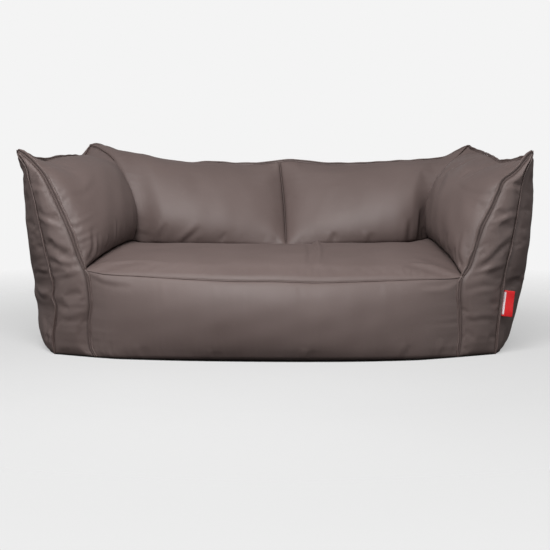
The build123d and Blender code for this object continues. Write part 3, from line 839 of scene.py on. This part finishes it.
def seat_panels():
    left, right = ARM["left"], ARM["right"]
    top = coons(BODY["seat_front"], BODY["seat_rear"], left["seat"], right["seat"])
    top = crown(top, INSIDE_SEAT, 0.038, 0.5, lean=0.6)
    SURFACES["seat"] = panel("seat_top_cover", "seat_top_panel", top, INSIDE_SEAT, 21, 1.5, 0.001, 0.006, 0.0016,
                             0.0012, SEAT_FOLDS, dark="lrt")
    front = coons(BODY["front_foot"], BODY["seat_front"], left["front"], right["front"])
    front = crown(front, INSIDE_SEAT, 0.040, 0.62, lean=0.3)
    SURFACES["front"] = panel("front_cover", "front_panel", front, INSIDE_SEAT, 24, 1.5, 0.0005, 0.005, 0.0010, 0.0007,
                              FRONT_FOLDS, dark="blr")


BACK_VALLEY = {"left": 1.0, "right": -1.0}


def back_panels():
    left, right, centre = ARM["left"], ARM["right"], BODY["centre"]
    rear = BODY["seat_rear"]
    patches = {
        "left": coons(rear[:HALF_BACK], BODY["top_left"], left["corner"], centre),
        "right": coons(rear[HALF_BACK - 1:], BODY["top_right"], centre, right["corner"]),
    }
    for number, (side, patch) in enumerate(patches.items()):
        patch = crown(patch, INSIDE_BACK, 0.062, 0.52, lean=0.1, valley=BACK_VALLEY[side])
        SURFACES["back_" + side] = panel(
            f"{side}_back_inner_cover", f"{side}_back_inner_panel", patch, INSIDE_BACK, 31 + number, 1.8, 0.003,
            0.008, 0.0012, 0.0007, BACK_FOLDS[side])
    back_rear_panel()


ZIP_LOW, ZIP_HIGH = low("zip_lower_tape"), high("zip_upper_tape")
ZIP_LAP = 0.0028       # how far the cover laps over the zip's tapes


def back_rear_panel():
    """The back of the sofa: full above, flat along the zip, with the zip's window cut out."""
    left, right = ARM["left"], ARM["right"]
    top = np.concatenate([BODY["top_left"], BODY["top_right"][1:]])
    grid = coons(BODY["rear_foot"], top, left["rear"], right["rear"])
    grid[:, :, :] = squared_to_zip(grid)
    u, v = shares(grid)
    rise = ease(grid[:, :, 2], ZIP_HIGH[2] + 0.03, 0.42) * (4 * u * (1 - u)) ** 0.5 * np.clip(4 * (1 - v), 0, 1) ** 0.5
    grid[:, :, 1] += 0.030 * rise
    hold = grid[:, :, 2] < ZIP_HIGH[2] + 0.03
    fine = doubled(grid)
    middle = 0.25 * (fine[:-1, :-1] + fine[1:, :-1] + fine[:-1, 1:] + fine[1:, 1:])
    window = ((middle[:, :, 0] > ZIP_LOW[0] + ZIP_LAP) & (middle[:, :, 0] < ZIP_HIGH[0] - ZIP_LAP)
              & (middle[:, :, 2] > ZIP_LOW[2] + ZIP_LAP) & (middle[:, :, 2] < ZIP_HIGH[2] - ZIP_LAP))
    folds = gathers((0.08, 0.22, 0.5, 0.74, 0.9), (0.2, 0.16, 0.2, 0.15, 0.2), 0.004, 0.02, 0.01, 0.3)
    SURFACES["rear"] = panel("back_outer_cover", "back_outer_panel", grid, INSIDE_BACK, 41, 1.8, 0.012, 0.012, 0.003,
                             0.0024, folds, hold, ~window, "lrt")


def squared_to_zip(grid):
    """Moves the rows and columns nearest the zip's window onto its sides, and the cloth there onto its plane."""
    g = grid.copy()
    plane = ZIP_HIGH[1] + COVER
    near = (1 - ease(g[:, :, 2], ZIP_HIGH[2] + 0.012, ZIP_HIGH[2] + 0.07)) * (1 - ease(abs(g[:, :, 0]), 0.50, 0.62))
    g[:, :, 1] = g[:, :, 1] * (1 - near) + plane * near
    heights = g[:, g.shape[1] // 2, 2].copy()
    below = int(np.argmin(abs(heights - ZIP_LOW[2] - ZIP_LAP)))
    above = int(np.argmin(abs(heights - ZIP_HIGH[2] + ZIP_LAP)))
    above = max(above, below + 2)
    marks = [0, below, above, above + 10]
    wanted = [LIFT, ZIP_LOW[2] + ZIP_LAP, ZIP_HIGH[2] - ZIP_LAP, None]
    for column in range(g.shape[1]):
        z = g[:, column, 2].copy()
        wanted[3] = z[above + 10]
        rows = np.arange(above + 11)
        level = np.interp(rows, marks, wanted)
        w = 1 - ease(abs(g[:above + 11, column, 0]), 0.50, 0.70)
        g[:above + 11, column, 2] = z[:above + 11] * (1 - w) + level * w
    widths = g[below, :, 0].copy()
    for end, side in ((ZIP_LOW[0] + ZIP_LAP, -1), (ZIP_HIGH[0] - ZIP_LAP, 1)):
        column = int(np.argmin(abs(widths - end)))
        shift = end - widths[column]
        fall = np.exp(-((np.arange(g.shape[1]) - column) / 5.0) ** 2)
        rows = 1 - ease(g[:, :, 2], ZIP_HIGH[2] + 0.01, ZIP_HIGH[2] + 0.10)
        g[:, :, 0] += shift * fall[None, :] * rows
    return g


for number, side in enumerate(SIDES):
    arm_panels(side, 3 + 50 * number)
seat_panels()
back_panels()


# ---------------------------------------------------------------- welts and stitches

# A welt in section: (share of the height, share of half the thickness), up one side
WELT_SIDE = [(-0.30, 0.60), (0.02, 0.92), (0.18, 0.90), (0.32, 0.62), (0.38, 0.40), (0.45, 0.62), (0.60, 1.0),
             (0.78, 1.0), (0.92, 0.76), (1.0, 0.40)]
WELT_GROOVE = (0.95, 0.0)
RIDGE_SIDE = [(-0.6, 0.9), (0.0, 0.95), (0.45, 0.85), (0.8, 0.6), (1.0, 0.25)]
RIDGE_GROOVE = (0.98, 0.0)
WELT_OVERRUN = 0.004     # how far the welts run past their seams, into each other
WELT_TAPER = 0.030       # the welts grow to their full height over this length
STITCH_PITCH = 0.006
STITCH_LONG = 0.0042
STITCH_END = 0.022       # where the rows of stitches stop before a seam's ends
STITCH_FAT = 0.0005


def seam_frame(line, stand, seed, sway):
    """For each point of a seam: the way along it, the way that its welt stands, and the way across."""
    along = unit(np.gradient(line, axis=0))
    stand = unit(stand - (stand * along).sum(1, keepdims=True) * along)
    across = np.cross(along, stand)
    at = np.concatenate([[0], np.cumsum(np.linalg.norm(np.diff(line, axis=0), axis=1))])
    turn = (sway * smooth_random(at, seed, 0.09, 0.33, 6))[:, None]
    return at, unit(stand * np.cos(turn) + across * np.sin(turn)), unit(across * np.cos(turn) - stand * np.sin(turn))


def stitches(points, along, faces_up):
    """Short raised threads, one at each point. Returns their points and faces."""
    ring = np.array([(0, 1), (1, 0), (0, -1), (-1, 0)])
    spots, faces = [], []
    for p, a, n in zip(points, along, faces_up):
        side = np.cross(a, n)
        start = len(spots)
        spots.append(p - 0.5 * STITCH_LONG * a)
        for reach in (-0.32, 0.32):
            spots += [p + reach * STITCH_LONG * a + STITCH_FAT * (x * side + y * n) for x, y in ring]
        spots.append(p + 0.5 * STITCH_LONG * a)
        for k in range(4):
            j = (k + 1) % 4
            faces.append((start, start + 1 + j, start + 1 + k))
            faces.append((start + 1 + k, start + 1 + j, start + 5 + j, start + 5 + k))
            faces.append((start + 9, start + 5 + k, start + 5 + j))
    return spots, faces


def two_materials(obj, second, first_face):
    """Gives the faces from first_face on a second material."""
    obj.data.materials.append(second)
    index = [0] * first_face + [1] * (len(obj.data.polygons) - first_face)
    obj.data.polygons.foreach_set("material_index", index)


def welt(name, node, seam, stand, seed, high_side=0.011, thick=0.0056, sway=0.20, sewn=True,
         side=WELT_SIDE, groove=WELT_GROOVE):
    """Two layers of the cover that stand up along a seam, pinched by their stitching, with raw edges turned in."""
    length = np.linalg.norm(np.diff(seam, axis=0), axis=1).sum()
    count = max(int(length / 0.0045), 8)
    ahead = unit(seam[-1] - seam[-2]) * WELT_OVERRUN
    behind = unit(seam[0] - seam[1]) * WELT_OVERRUN
    line = even(np.vstack([seam[:1] + behind, seam, seam[-1:] + ahead]), count)
    line[:, 2] = np.maximum(line[:, 2], 0.0005)
    stand = np.asarray(stand, float)
    if stand.ndim == 1:
        stand = np.repeat(stand[None], count, axis=0)
    else:
        t = np.linspace(0, len(stand) - 1, count)
        stand = np.stack([np.interp(t, np.arange(len(stand)), stand[:, k]) for k in range(3)], 1)
    at, up, across = seam_frame(line, stand, seed, sway)
    tall = high_side * (1 + 0.10 * smooth_random(at, seed + 1, 0.06, 0.2, 5))
    fat = 0.5 * thick * (1 + 0.08 * smooth_random(at, seed + 2, 0.03, 0.1, 5))
    end = np.clip(np.minimum(at, at[-1] - at) / 0.006, 0, 1) ** 0.5
    tall = tall * (0.50 + 0.50 * ease(np.minimum(at, at[-1] - at), 0, WELT_TAPER))
    profile = side + [groove] + [(h, -w) for h, w in reversed(side)]
    points, crest = [], []
    for h, w in profile:
        points.append(line + up * (h * tall * (0.7 + 0.3 * end))[:, None] + across * (w * fat * end)[:, None])
        crest.append(np.full(count, max(0.0, (h - 0.55) / 0.45)))
    rings = np.stack(points, 1)
    wide = len(profile)
    index = np.arange(count * wide).reshape(count, wide)
    faces = [(index[i, k], index[i + 1, k], index[i + 1, (k + 1) % wide], index[i, (k + 1) % wide])
             for i in range(count - 1) for k in range(wide)]
    faces += [tuple(index[0, ::-1]), tuple(index[-1])]
    spots = rings.reshape(-1, 3).tolist()
    body = len(faces)
    marks = np.stack(crest, 1).ravel().tolist()
    if sewn:
        step = STITCH_PITCH
        where = np.arange(STITCH_END, at[-1] - STITCH_END, step)
        def along_line(values):
            return np.stack([np.interp(where, at, values[:, k]) for k in range(3)], 1)
        ways = unit(along_line(np.gradient(line, axis=0)))
        for hand in (1, -1):
            sit = 0.42 * np.interp(where, at, fat)[:, None] * hand
            base = along_line(line) + along_line(up) * 0.38 * np.interp(where, at, tall)[:, None]
            found, more = stitches(base + along_line(across) * sit, ways, along_line(across) * hand)
            faces += [tuple(i + len(spots) for i in f) for f in more]
            spots += [tuple(p) for p in found]
        marks += [0.0] * (len(spots) - len(marks))
    obj = plain_solid(name, spots, faces, WELT_LEATHER)
    obj.data.attributes.new("crest", "FLOAT", "POINT").data.foreach_set("value", marks)
    if sewn:
        two_materials(obj, THREAD, body)
    return dress(obj, "leather_welt", node)


def plain_solid(name, points, faces, material):
    """A mesh whose faces already point outward."""
    mesh = bpy.data.meshes.new(name)
    mesh.from_pydata([tuple(p) for p in points], [], [tuple(int(i) for i in f) for f in faces])
    mesh.polygons.foreach_set("use_smooth", [True] * len(mesh.polygons))
    mesh.update()
    obj = bpy.data.objects.new(name, mesh)
    bpy.context.scene.collection.objects.link(obj)
    mesh.materials.append(material)
    return obj


def in_front_plane(seam, side, forward):
    """The way that a gusset's inner welt lies: flat in the front plane, towards the seat, and tilted forward."""
    along = unit(np.gradient(seam, axis=0))
    run = unit(np.array([*(PEAK[:2] - FORK[:2]), 0.0]) * (SIDES[side], 1, 1))
    ahead = np.array([run[1] * SIDES[side], -abs(run[0]), 0.0])
    flat = unit(np.cross(along, ahead[None]))
    flat *= np.sign((flat * (-SIDES[side], 0, 0)).sum(1, keepdims=True))
    return unit(flat + forward * ahead)


def arm_welts(side, seed):
    s, seams = SIDES[side], ARM[side]
    run = unit(np.array([*(PEAK[:2] - FORK[:2]), 0.0]) * (s, 1, 1))
    ahead = np.array([run[1] * s, -abs(run[0]), 0.0])
    inner, front = in_front_plane(seams["inner"], side, 0.10), in_front_plane(seams["front"], side, 0.14)
    welt(f"{side}_arm_inner_flange", f"{side}_arm_inner_welt", seams["inner"], inner, seed, 0.0205, 0.0080, 0.08)
    welt(f"{side}_front_seam_flange", f"{side}_front_seam_welt", seams["front"], front, seed + 3, 0.0150, 0.0070, 0.10)
    outer_way = unit(ahead + np.array([0.75 * s, 0, 0]))
    welt(f"{side}_arm_outer_flange", f"{side}_arm_outer_welt", seams["outer"], outer_way, seed + 6, 0.0105, 0.0056, 0.22)
    welt(f"{side}_arm_top_flange", f"{side}_arm_top_welt", seams["top"], (0.12 * s, 0, 1), seed + 9, 0.0105, 0.0056, 0.24)
    welt(f"{side}_inner_corner_flange", f"{side}_inner_corner_welt", seams["corner"], (-0.54 * s, -0.80, 0.25), seed + 12,
         0.009, 0.0052, 0.16)
    welt(f"{side}_rear_corner_flange", f"{side}_rear_corner_welt", seams["rear"], (0.62 * s, 0.78, 0), seed + 15,
         0.0105, 0.0056, 0.2)


def body_welts():
    top = np.concatenate([BODY["top_left"], BODY["top_right"][1:]])
    welt("back_top_flange", "back_top_welt", top, (0, 0.10, 1), 211, 0.0105, 0.0056, 0.24)
    plain = dict(high_side=0.0026, thick=0.0042, sway=0.1, sewn=False, side=RIDGE_SIDE, groove=RIDGE_GROOVE)
    welt("seat_front_ridge", "seat_front_seam", BODY["seat_front"], (0, -0.75, 0.66), 221, **plain)
    welt("back_centre_ridge", "back_centre_seam", BODY["centre"], (0, -1, 0.15), 231, **plain)


for number, side in enumerate(SIDES):
    arm_welts(side, 101 + 40 * number)
body_welts()


# ---------------------------------------------------------------- base, partitions and bags

def outline():
    """The foot of the whole cover, all round."""
    left, right = ARM["left"], ARM["right"]
    parts = [BODY["front_foot"], right["gusset_foot"], right["foot"], BODY["rear_foot"][::-1], left["foot"][::-1],
             left["gusset_foot"][::-1]]
    return np.concatenate([p[:-1] for p in parts])


def base():
    """The strong black cloth under the sofa: one flat sheet."""
    edge = outline()
    centre = np.array([0, edge[:, 1].mean(), 0])
    steps = (1.0, 0.985, 0.95, 0.88, 0.78, 0.66, 0.53, 0.40, 0.27, 0.14, 0.03)
    rings = [centre + (edge - centre) * (k, k, 0) for k in steps]
    count = len(edge)
    points = np.concatenate(rings + [r + (0, 0, LIFT) for r in rings])
    faces = []
    for r in range(len(steps) - 1):
        for k in range(count):
            a, b = r * count + k, r * count + (k + 1) % count
            c, d = b + count, a + count
            faces.append((a, d, c, b))
            over = len(steps) * count
            faces.append((a + over, b + over, c + over, d + over))
    last = (len(steps) - 1) * count
    over = len(steps) * count
    faces.append(tuple(range(last, last + count)))
    faces.append(tuple(range(last + over + count - 1, last + over - 1, -1)))
    faces += [(k, (k + 1) % count, (k + 1) % count + over, k + over) for k in range(count)]
    obj = solid("base_cloth_panel", points.tolist(), faces, BASE_CLOTH)
    dress(obj, "base_fabric", "base_panel")


def drop(line, count):
    """The foot of a seam's partition, straight below it."""
    foot = line.copy()
    foot[:, 2] = LIFT
    return even(foot, count)


PARTITIONS = {}


def partition(name, node, bottom, top, left, right):
    """A wall of lining cloth, stretched between four seams."""
    grid = coons(bottom, top, left, right)
    u, v = shares(grid)
    slack = 0.004 * np.sin(np.pi * u) * np.sin(np.pi * v) * (1 + 0.6 * np.sin(9 * u + 5 * v))
    n = normals(grid, grid.mean((0, 1)) - (0.001, 0.001, 0))
    grid = grid + n * slack[:, :, None]
    PARTITIONS[name] = grid
    inside = grid[grid.shape[0] // 2, grid.shape[1] // 2] - n[grid.shape[0] // 2, grid.shape[1] // 2]
    obj = shell(name, grid, inside, CLOTH, LINING)
    dress(obj, "lining_cloth", node)


def upright(foot, head, count):
    return even(np.array([foot, head]), count)


def partitions():
    rows = 30
    for side in SIDES:
        seams = ARM[side]
        fork, corner = seams["front"][0], seams["corner"][0]
        below = corner * (1, 1, 0) + (0, 0, LIFT)
        inner_edge = np.concatenate([upright(below, corner, rows), seams["corner"][1:]])
        rear_edge = even(seams["rear"], len(inner_edge))
        bottom = even(np.array([below, seams["rear"][0]]), 30)
        top = even(np.array([seams["corner"][-1], seams["rear"][-1] + (0, 0.002, 0)]), 30)
        partition(f"{side}_corner_wall", f"{side}_corner_partition", bottom, top, inner_edge, rear_edge)
        line = seams["seat"]
        foot = even(np.array([seams["front"][0], below]), len(line))
        partition(f"{side}_seat_wall", f"{side}_seat_partition", foot, line, even(seams["front"], rows),
                  upright(below, corner, rows))
    line = BODY["seat_rear"]
    ends = [line[0] * (1, 1, 0) + (0, 0, LIFT), line[-1] * (1, 1, 0) + (0, 0, LIFT)]
    partition("rear_seat_wall", "rear_seat_partition", drop(line, len(line)), line, upright(ends[0], line[0], rows),
              upright(ends[1], line[-1], rows))


def chamber(inside, *grids):
    """A search tree of the walls round one bag, all facing away from it."""
    points, faces = [], []
    for grid in grids:
        rows, columns = grid.shape[:2]
        at = np.arange(rows * columns).reshape(rows, columns) + len(points)
        quads = np.stack([at[:-1, :-1], at[:-1, 1:], at[1:, 1:], at[1:, :-1]], 2).reshape(-1, 4)
        middle = (rows // 2, columns // 2)
        n = np.cross(np.gradient(grid, axis=1), np.gradient(grid, axis=0))[middle]
        if n @ (grid[middle] - inside) < 0:
            quads = quads[:, ::-1]
        points += grid.reshape(-1, 3).tolist()
        faces += quads.tolist()
    return BVHTree.FromPolygons(points, faces)


def tuck(mesh, walls, gap, floor, middle):
    """Moves the points of a bag that come too near its chamber's walls, and out of the valleys between two panels."""
    for vertex in mesh.vertices:
        for turn in range(14):
            spot, normal, _, _ = walls.find_nearest(vertex.co)
            past = (vertex.co - spot).dot(normal) + gap
            if past <= 0:
                break
            if turn < 3:
                vertex.co -= normal * (past + 0.0005)
            else:
                vertex.co += (middle - vertex.co).normalized() * 0.012
        vertex.co.z = max(vertex.co.z, floor)


BAG_VOXEL = 0.018
BAG_GAP = 0.020


def bag(fill_node, liner_node, inside, walls, gap=BAG_GAP):
    """A bag of beads and the liner round it, as plump as its chamber lets it be."""
    source = bpy.data.objects.new("bag_in_work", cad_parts[fill_node].data.copy())
    bpy.context.scene.collection.objects.link(source)
    remesh = source.modifiers.new("Remesh", "REMESH")
    remesh.mode = "VOXEL"
    remesh.voxel_size = BAG_VOXEL
    round_off = source.modifiers.new("Smooth", "SMOOTH")
    round_off.iterations = 6
    depsgraph = bpy.context.evaluated_depsgraph_get()
    mesh = bpy.data.meshes.new_from_object(source.evaluated_get(depsgraph))
    bpy.data.objects.remove(source)
    tuck(mesh, walls, gap, LIFT + 0.004, Vector(inside))
    co = np.array([v.co for v in mesh.vertices])
    normal = np.array([v.normal for v in mesh.vertices])
    faces = [tuple(p.vertices) for p in mesh.polygons]
    inner = solid(fill_node + "_beads", co.tolist(), faces, BEADS)
    dress(inner, "bead_fill", fill_node, fill=0.85)
    count = len(co)
    skin = np.concatenate([co + 0.0026 * normal, co + 0.0008 * normal])
    double = faces + [tuple(i + count for i in reversed(f)) for f in faces]
    outer = plain_solid(liner_node + "_bag", skin, double, LINER)
    dress(outer, "liner_cloth", liner_node, fill=0.85)


def bags():
    covers = {key: pair[1] for key, pair in SURFACES.items()}
    for side in SIDES:
        walls = chamber(INSIDE_ARM[side], covers[side + "_front"], covers[side + "_inner"], covers[side + "_outer"],
                        PARTITIONS[side + "_corner_wall"], PARTITIONS[side + "_seat_wall"])
        bag(f"{side}_arm_bead_fill", f"{side}_arm_liner", INSIDE_ARM[side], walls)
    walls = chamber(INSIDE_SEAT, covers["seat"], covers["front"], PARTITIONS["left_seat_wall"],
                    PARTITIONS["right_seat_wall"], PARTITIONS["rear_seat_wall"])
    bag("seat_bead_fill", "seat_liner", INSIDE_SEAT, walls)
    keel = np.stack([BODY["centre"] + (x, 0.006, 0) for x in (-0.05, 0, 0.05)], 1)
    walls = chamber(INSIDE_BACK, keel, covers["back_left"], covers["back_right"], covers["rear"],
                    PARTITIONS["left_corner_wall"], PARTITIONS["right_corner_wall"], PARTITIONS["rear_seat_wall"])
    bag("back_bead_fill", "back_liner", INSIDE_BACK, walls, gap=0.038)


base()
partitions()
bags()


# ---------------------------------------------------------------- zip and label

TOOTH_PITCH = 0.003
LABEL_THICK = 0.0012
LABEL_SWING = math.radians(24)


def teeth():
    """Coil-like interlocking teeth on both tapes."""
    for row, node in ((1, "zip_upper_teeth"), (-1, "zip_lower_teeth")):
        lo, hi = low(node), high(node)
        middle = 0.5 * (lo + hi)
        reach = 0.5 * (hi - lo)
        points, faces = [], []
        shift = 0.25 * TOOTH_PITCH * row
        for x in np.arange(lo[0] + TOOTH_PITCH, hi[0] - TOOTH_PITCH, TOOTH_PITCH):
            start = len(points)
            for dx in (-1, 1):
                for dy, dz in ((-1, -0.7), (-0.4, -1.0), (0.6, -0.9), (1, -0.3), (1, 0.3), (0.6, 0.9), (-0.4, 1.0),
                               (-1, 0.7)):
                    squeeze = 0.62 if dx * row > 0 else 0.8
                    points.append((x + shift + dx * 0.22 * TOOTH_PITCH * squeeze * (1.2 - 0.3 * abs(dz)),
                                   middle[1] + dy * reach[1] * 0.95, middle[2] + dz * reach[2] * 0.98))
            ring = list(range(start, start + 8))
            faces += [tuple(ring), tuple(i + 8 for i in reversed(ring))]
            faces += [(ring[k], ring[k] + 8, ring[(k + 1) % 8] + 8, ring[(k + 1) % 8]) for k in range(8)]
        obj = solid(node + "_coil", points, faces, ZIP_PLASTIC, smooth=False)
        dress(obj, "zip_plastic", node)


def zip_stitching():
    """A row of stitches round the zip's window."""
    out = 0.0035
    y = ZIP_HIGH[1] + COVER + 0.0003
    x0, x1, z0, z1 = ZIP_LOW[0] - out, ZIP_HIGH[0] + out, ZIP_LOW[2] - out, ZIP_HIGH[2] + out
    corners = [(x0, y, z0), (x1, y, z0), (x1, y, z1), (x0, y, z1), (x0, y, z0)]
    points, faces = [], []
    for a, b in zip(corners, corners[1:]):
        a, b = np.array(a), np.array(b)
        count = int(np.linalg.norm(b - a) / STITCH_PITCH)
        spots = [a + (b - a) * (k + 0.5) / count for k in range(count)]
        found, more = stitches(spots, [unit(b - a)] * count, [np.array([0, 1.0, 0])] * count)
        faces += [tuple(i + len(points) for i in f) for f in more]
        points += [tuple(p) for p in found]
    obj = plain_solid("zip_stitching", points, faces, THREAD)
    dress(obj, "leather_welt")


def turned(point, low_seam, high_seam):
    """A point of the label, swung forward about its seam so that it clears the swell of the arm."""
    swing = Matrix.Rotation(-LABEL_SWING, 3, Vector(high_seam - low_seam))
    return low_seam + np.array(swing @ Vector(point - low_seam))


def label():
    """A folded woven label, blank, with a paler woven strip beside its seam."""
    lo, hi = low("side_label"), high("side_label")
    skew = np.array([0.0104, 0.006, 0.0])
    droop = 0.0055
    low_seam, high_seam = np.array([lo[0], lo[1], lo[2] + droop]), np.array([lo[0], lo[1], hi[2]]) + skew
    low_free, high_free = np.array([hi[0], hi[1], lo[2]]) - skew, np.array([hi[0], hi[1], hi[2] - droop])
    low_free, high_free = turned(low_free, low_seam, high_seam), turned(high_free, low_seam, high_seam)
    columns, rows = 25, 45
    grid = coons(even(np.array([low_seam, low_free]), columns), even(np.array([high_seam, high_free]), columns),
                 even(np.array([low_seam, high_seam]), rows), even(np.array([low_free, high_free]), rows))
    behind = grid.mean((0, 1)) + (0, 0.5, 0)
    u, v = shares(grid)
    n = normals(grid, behind)
    curl = 0.0022 * np.sin(np.pi * u) * (0.8 + 0.3 * np.sin(3 * v)) + 0.0016 * u * np.sin(2.5 * np.pi * v)
    grid = grid + n * (curl * ease(u, 0, 0.15))[:, :, None]
    obj = shell("side_label_woven", grid, behind, LABEL_THICK, LABEL)
    strip = (ease(u, 0.07, 0.10) * (1 - ease(u, 0.26, 0.29)) * ease(v, 0.06, 0.08) * (1 - ease(v, 0.92, 0.94))).ravel()
    values = np.concatenate([strip, strip]).tolist()
    obj.data.attributes.new("strip", "FLOAT", "POINT").data.foreach_set("value", values)
    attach(obj, "label")
    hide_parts("side_label")


def label_cloth():
    """Red satin-woven label cloth with a pale strip."""
    n = Nodes("label_cloth", 0.55, 0.4)
    weave = n.sums("MULTIPLY", n.wave(1100, "X", 0.2), n.wave(1100, "Z", 0.2))
    red = n.blend(n.span(n.sums("ADD", weave, n.noise(40, 3, 0.6)), 0.3, 1.5, 0, 1), srgb(176, 14, 20), srgb(214, 30, 34))
    pale = n.blend(weave, srgb(196, 186, 190), srgb(228, 222, 224))
    n.feed(n.shader.inputs["Base Color"], n.blend(n.attribute("strip"), red, pale))
    n.bump([(weave, 0.5, 0.0003)])
    return n.material


LABEL = label_cloth()


def finish_hardware():
    """Materials of the CAD nodes that stay."""
    for node, material in (("zip_upper_tape", ZIP_TAPE), ("zip_lower_tape", ZIP_TAPE), ("zip_end_stops", ZIP_PLASTIC),
                           ("zip_slider", ZIP_METAL)):
        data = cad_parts[node].data
        data.materials.clear()
        data.materials.append(material)


teeth()
zip_stitching()
label()
finish_hardware()


# ---------------------------------------------------------------- stage, light and camera

BACKDROP_REACH = 30.0


def stage():
    floor = bpy.data.meshes.new("studio_floor")
    reach = 14.0
    floor.from_pydata([(-reach, -reach, 0), (reach, -reach, 0), (reach, reach, 0), (-reach, reach, 0)], [], [(0, 1, 2, 3)])
    floor.materials.append(floor_paint())
    obj = bpy.data.objects.new("studio_floor", floor)
    bpy.context.scene.collection.objects.link(obj)
    obj.visible_diffuse = False
    obj.visible_glossy = False


def backdrop():
    """A dome round everything, which only the camera sees."""
    work = bmesh.new()
    bmesh.ops.create_uvsphere(work, u_segments=48, v_segments=24, radius=BACKDROP_REACH)
    mesh = bpy.data.meshes.new("studio_backdrop")
    work.to_mesh(mesh)
    work.free()
    mesh.materials.append(backdrop_paint())
    obj = bpy.data.objects.new("studio_backdrop", mesh)
    bpy.context.scene.collection.objects.link(obj)
    for rays in ("visible_diffuse", "visible_glossy", "visible_transmission", "visible_shadow"):
        setattr(obj, rays, False)


def lamp(name, place, aim, size, power, colour=(1, 1, 1)):
    data = bpy.data.lights.new(name, "AREA")
    data.shape = "DISK"
    data.size = size
    data.energy = power
    data.color = colour
    obj = bpy.data.objects.new(name, data)
    obj.location = place
    obj.rotation_euler = (Vector(aim) - Vector(place)).to_track_quat("-Z", "Y").to_euler()
    bpy.context.scene.collection.objects.link(obj)


def sun(name, towards, softness, strength):
    """Even light from one direction, as soft as a very large lamp."""
    data = bpy.data.lights.new(name, "SUN")
    data.angle = math.radians(softness)
    data.energy = strength
    obj = bpy.data.objects.new(name, data)
    obj.rotation_euler = (-Vector(towards)).to_track_quat("-Z", "Y").to_euler()
    bpy.context.scene.collection.objects.link(obj)


def sky():
    """A pale surround, brighter near the horizon than overhead."""
    world = bpy.data.worlds.new("studio")
    bpy.context.scene.world = world
    world.use_nodes = True
    tree = world.node_tree
    background = tree.nodes["Background"]
    place = tree.nodes.new("ShaderNodeTexCoord")
    split = tree.nodes.new("ShaderNodeSeparateXYZ")
    ramp = tree.nodes.new("ShaderNodeValToRGB")
    shift = tree.nodes.new("ShaderNodeMapRange")
    tree.links.new(place.outputs["Generated"], split.inputs[0])
    tree.links.new(split.outputs["Z"], shift.inputs["Value"])
    shift.inputs["From Min"].default_value = -1
    tree.links.new(shift.outputs[0], ramp.inputs["Fac"])
    bands = ((0.0, 0.02), (0.46, 0.03), (0.50, 0.40), (0.58, 0.55), (0.66, 0.30), (0.80, 0.24), (1.0, 0.24))
    ramp.color_ramp.elements[0].position, ramp.color_ramp.elements[1].position = 0.0, 1.0
    for spot, _ in bands[1:-1]:
        ramp.color_ramp.elements.new(spot)
    for element, (_, grey) in zip(ramp.color_ramp.elements, bands):
        element.color = (grey, grey, grey, 1)
    tree.links.new(ramp.outputs[0], background.inputs["Color"])


def camera():
    data = bpy.data.cameras.new("camera")
    data.lens = 80
    data.sensor_width = 36
    obj = bpy.data.objects.new("camera", data)
    obj.location = (0, -4.8825, 0.809)
    obj.rotation_euler = (math.radians(90 - 6.4), 0, 0)
    bpy.context.scene.collection.objects.link(obj)
    bpy.context.scene.camera = obj


bpy.context.scene.view_settings.view_transform = "Standard"
stage()
backdrop()
sky()
sun("key", (-0.10, -0.52, 0.85), 38, 2.2)
lamp("front", (-0.35, -1.8, 2.0), (-0.05, -0.1, 0.3), 1.3, 54)
lamp("left", (-2.4, -1.3, 0.5), (-0.9, 0, 0.35), 1.0, 8)
lamp("right", (2.4, -1.3, 0.5), (0.9, 0, 0.35), 1.0, 8)
lamp("rear", (0.3, 3.2, 0.6), (0, 0.5, 0.35), 1.2, 26)
camera()
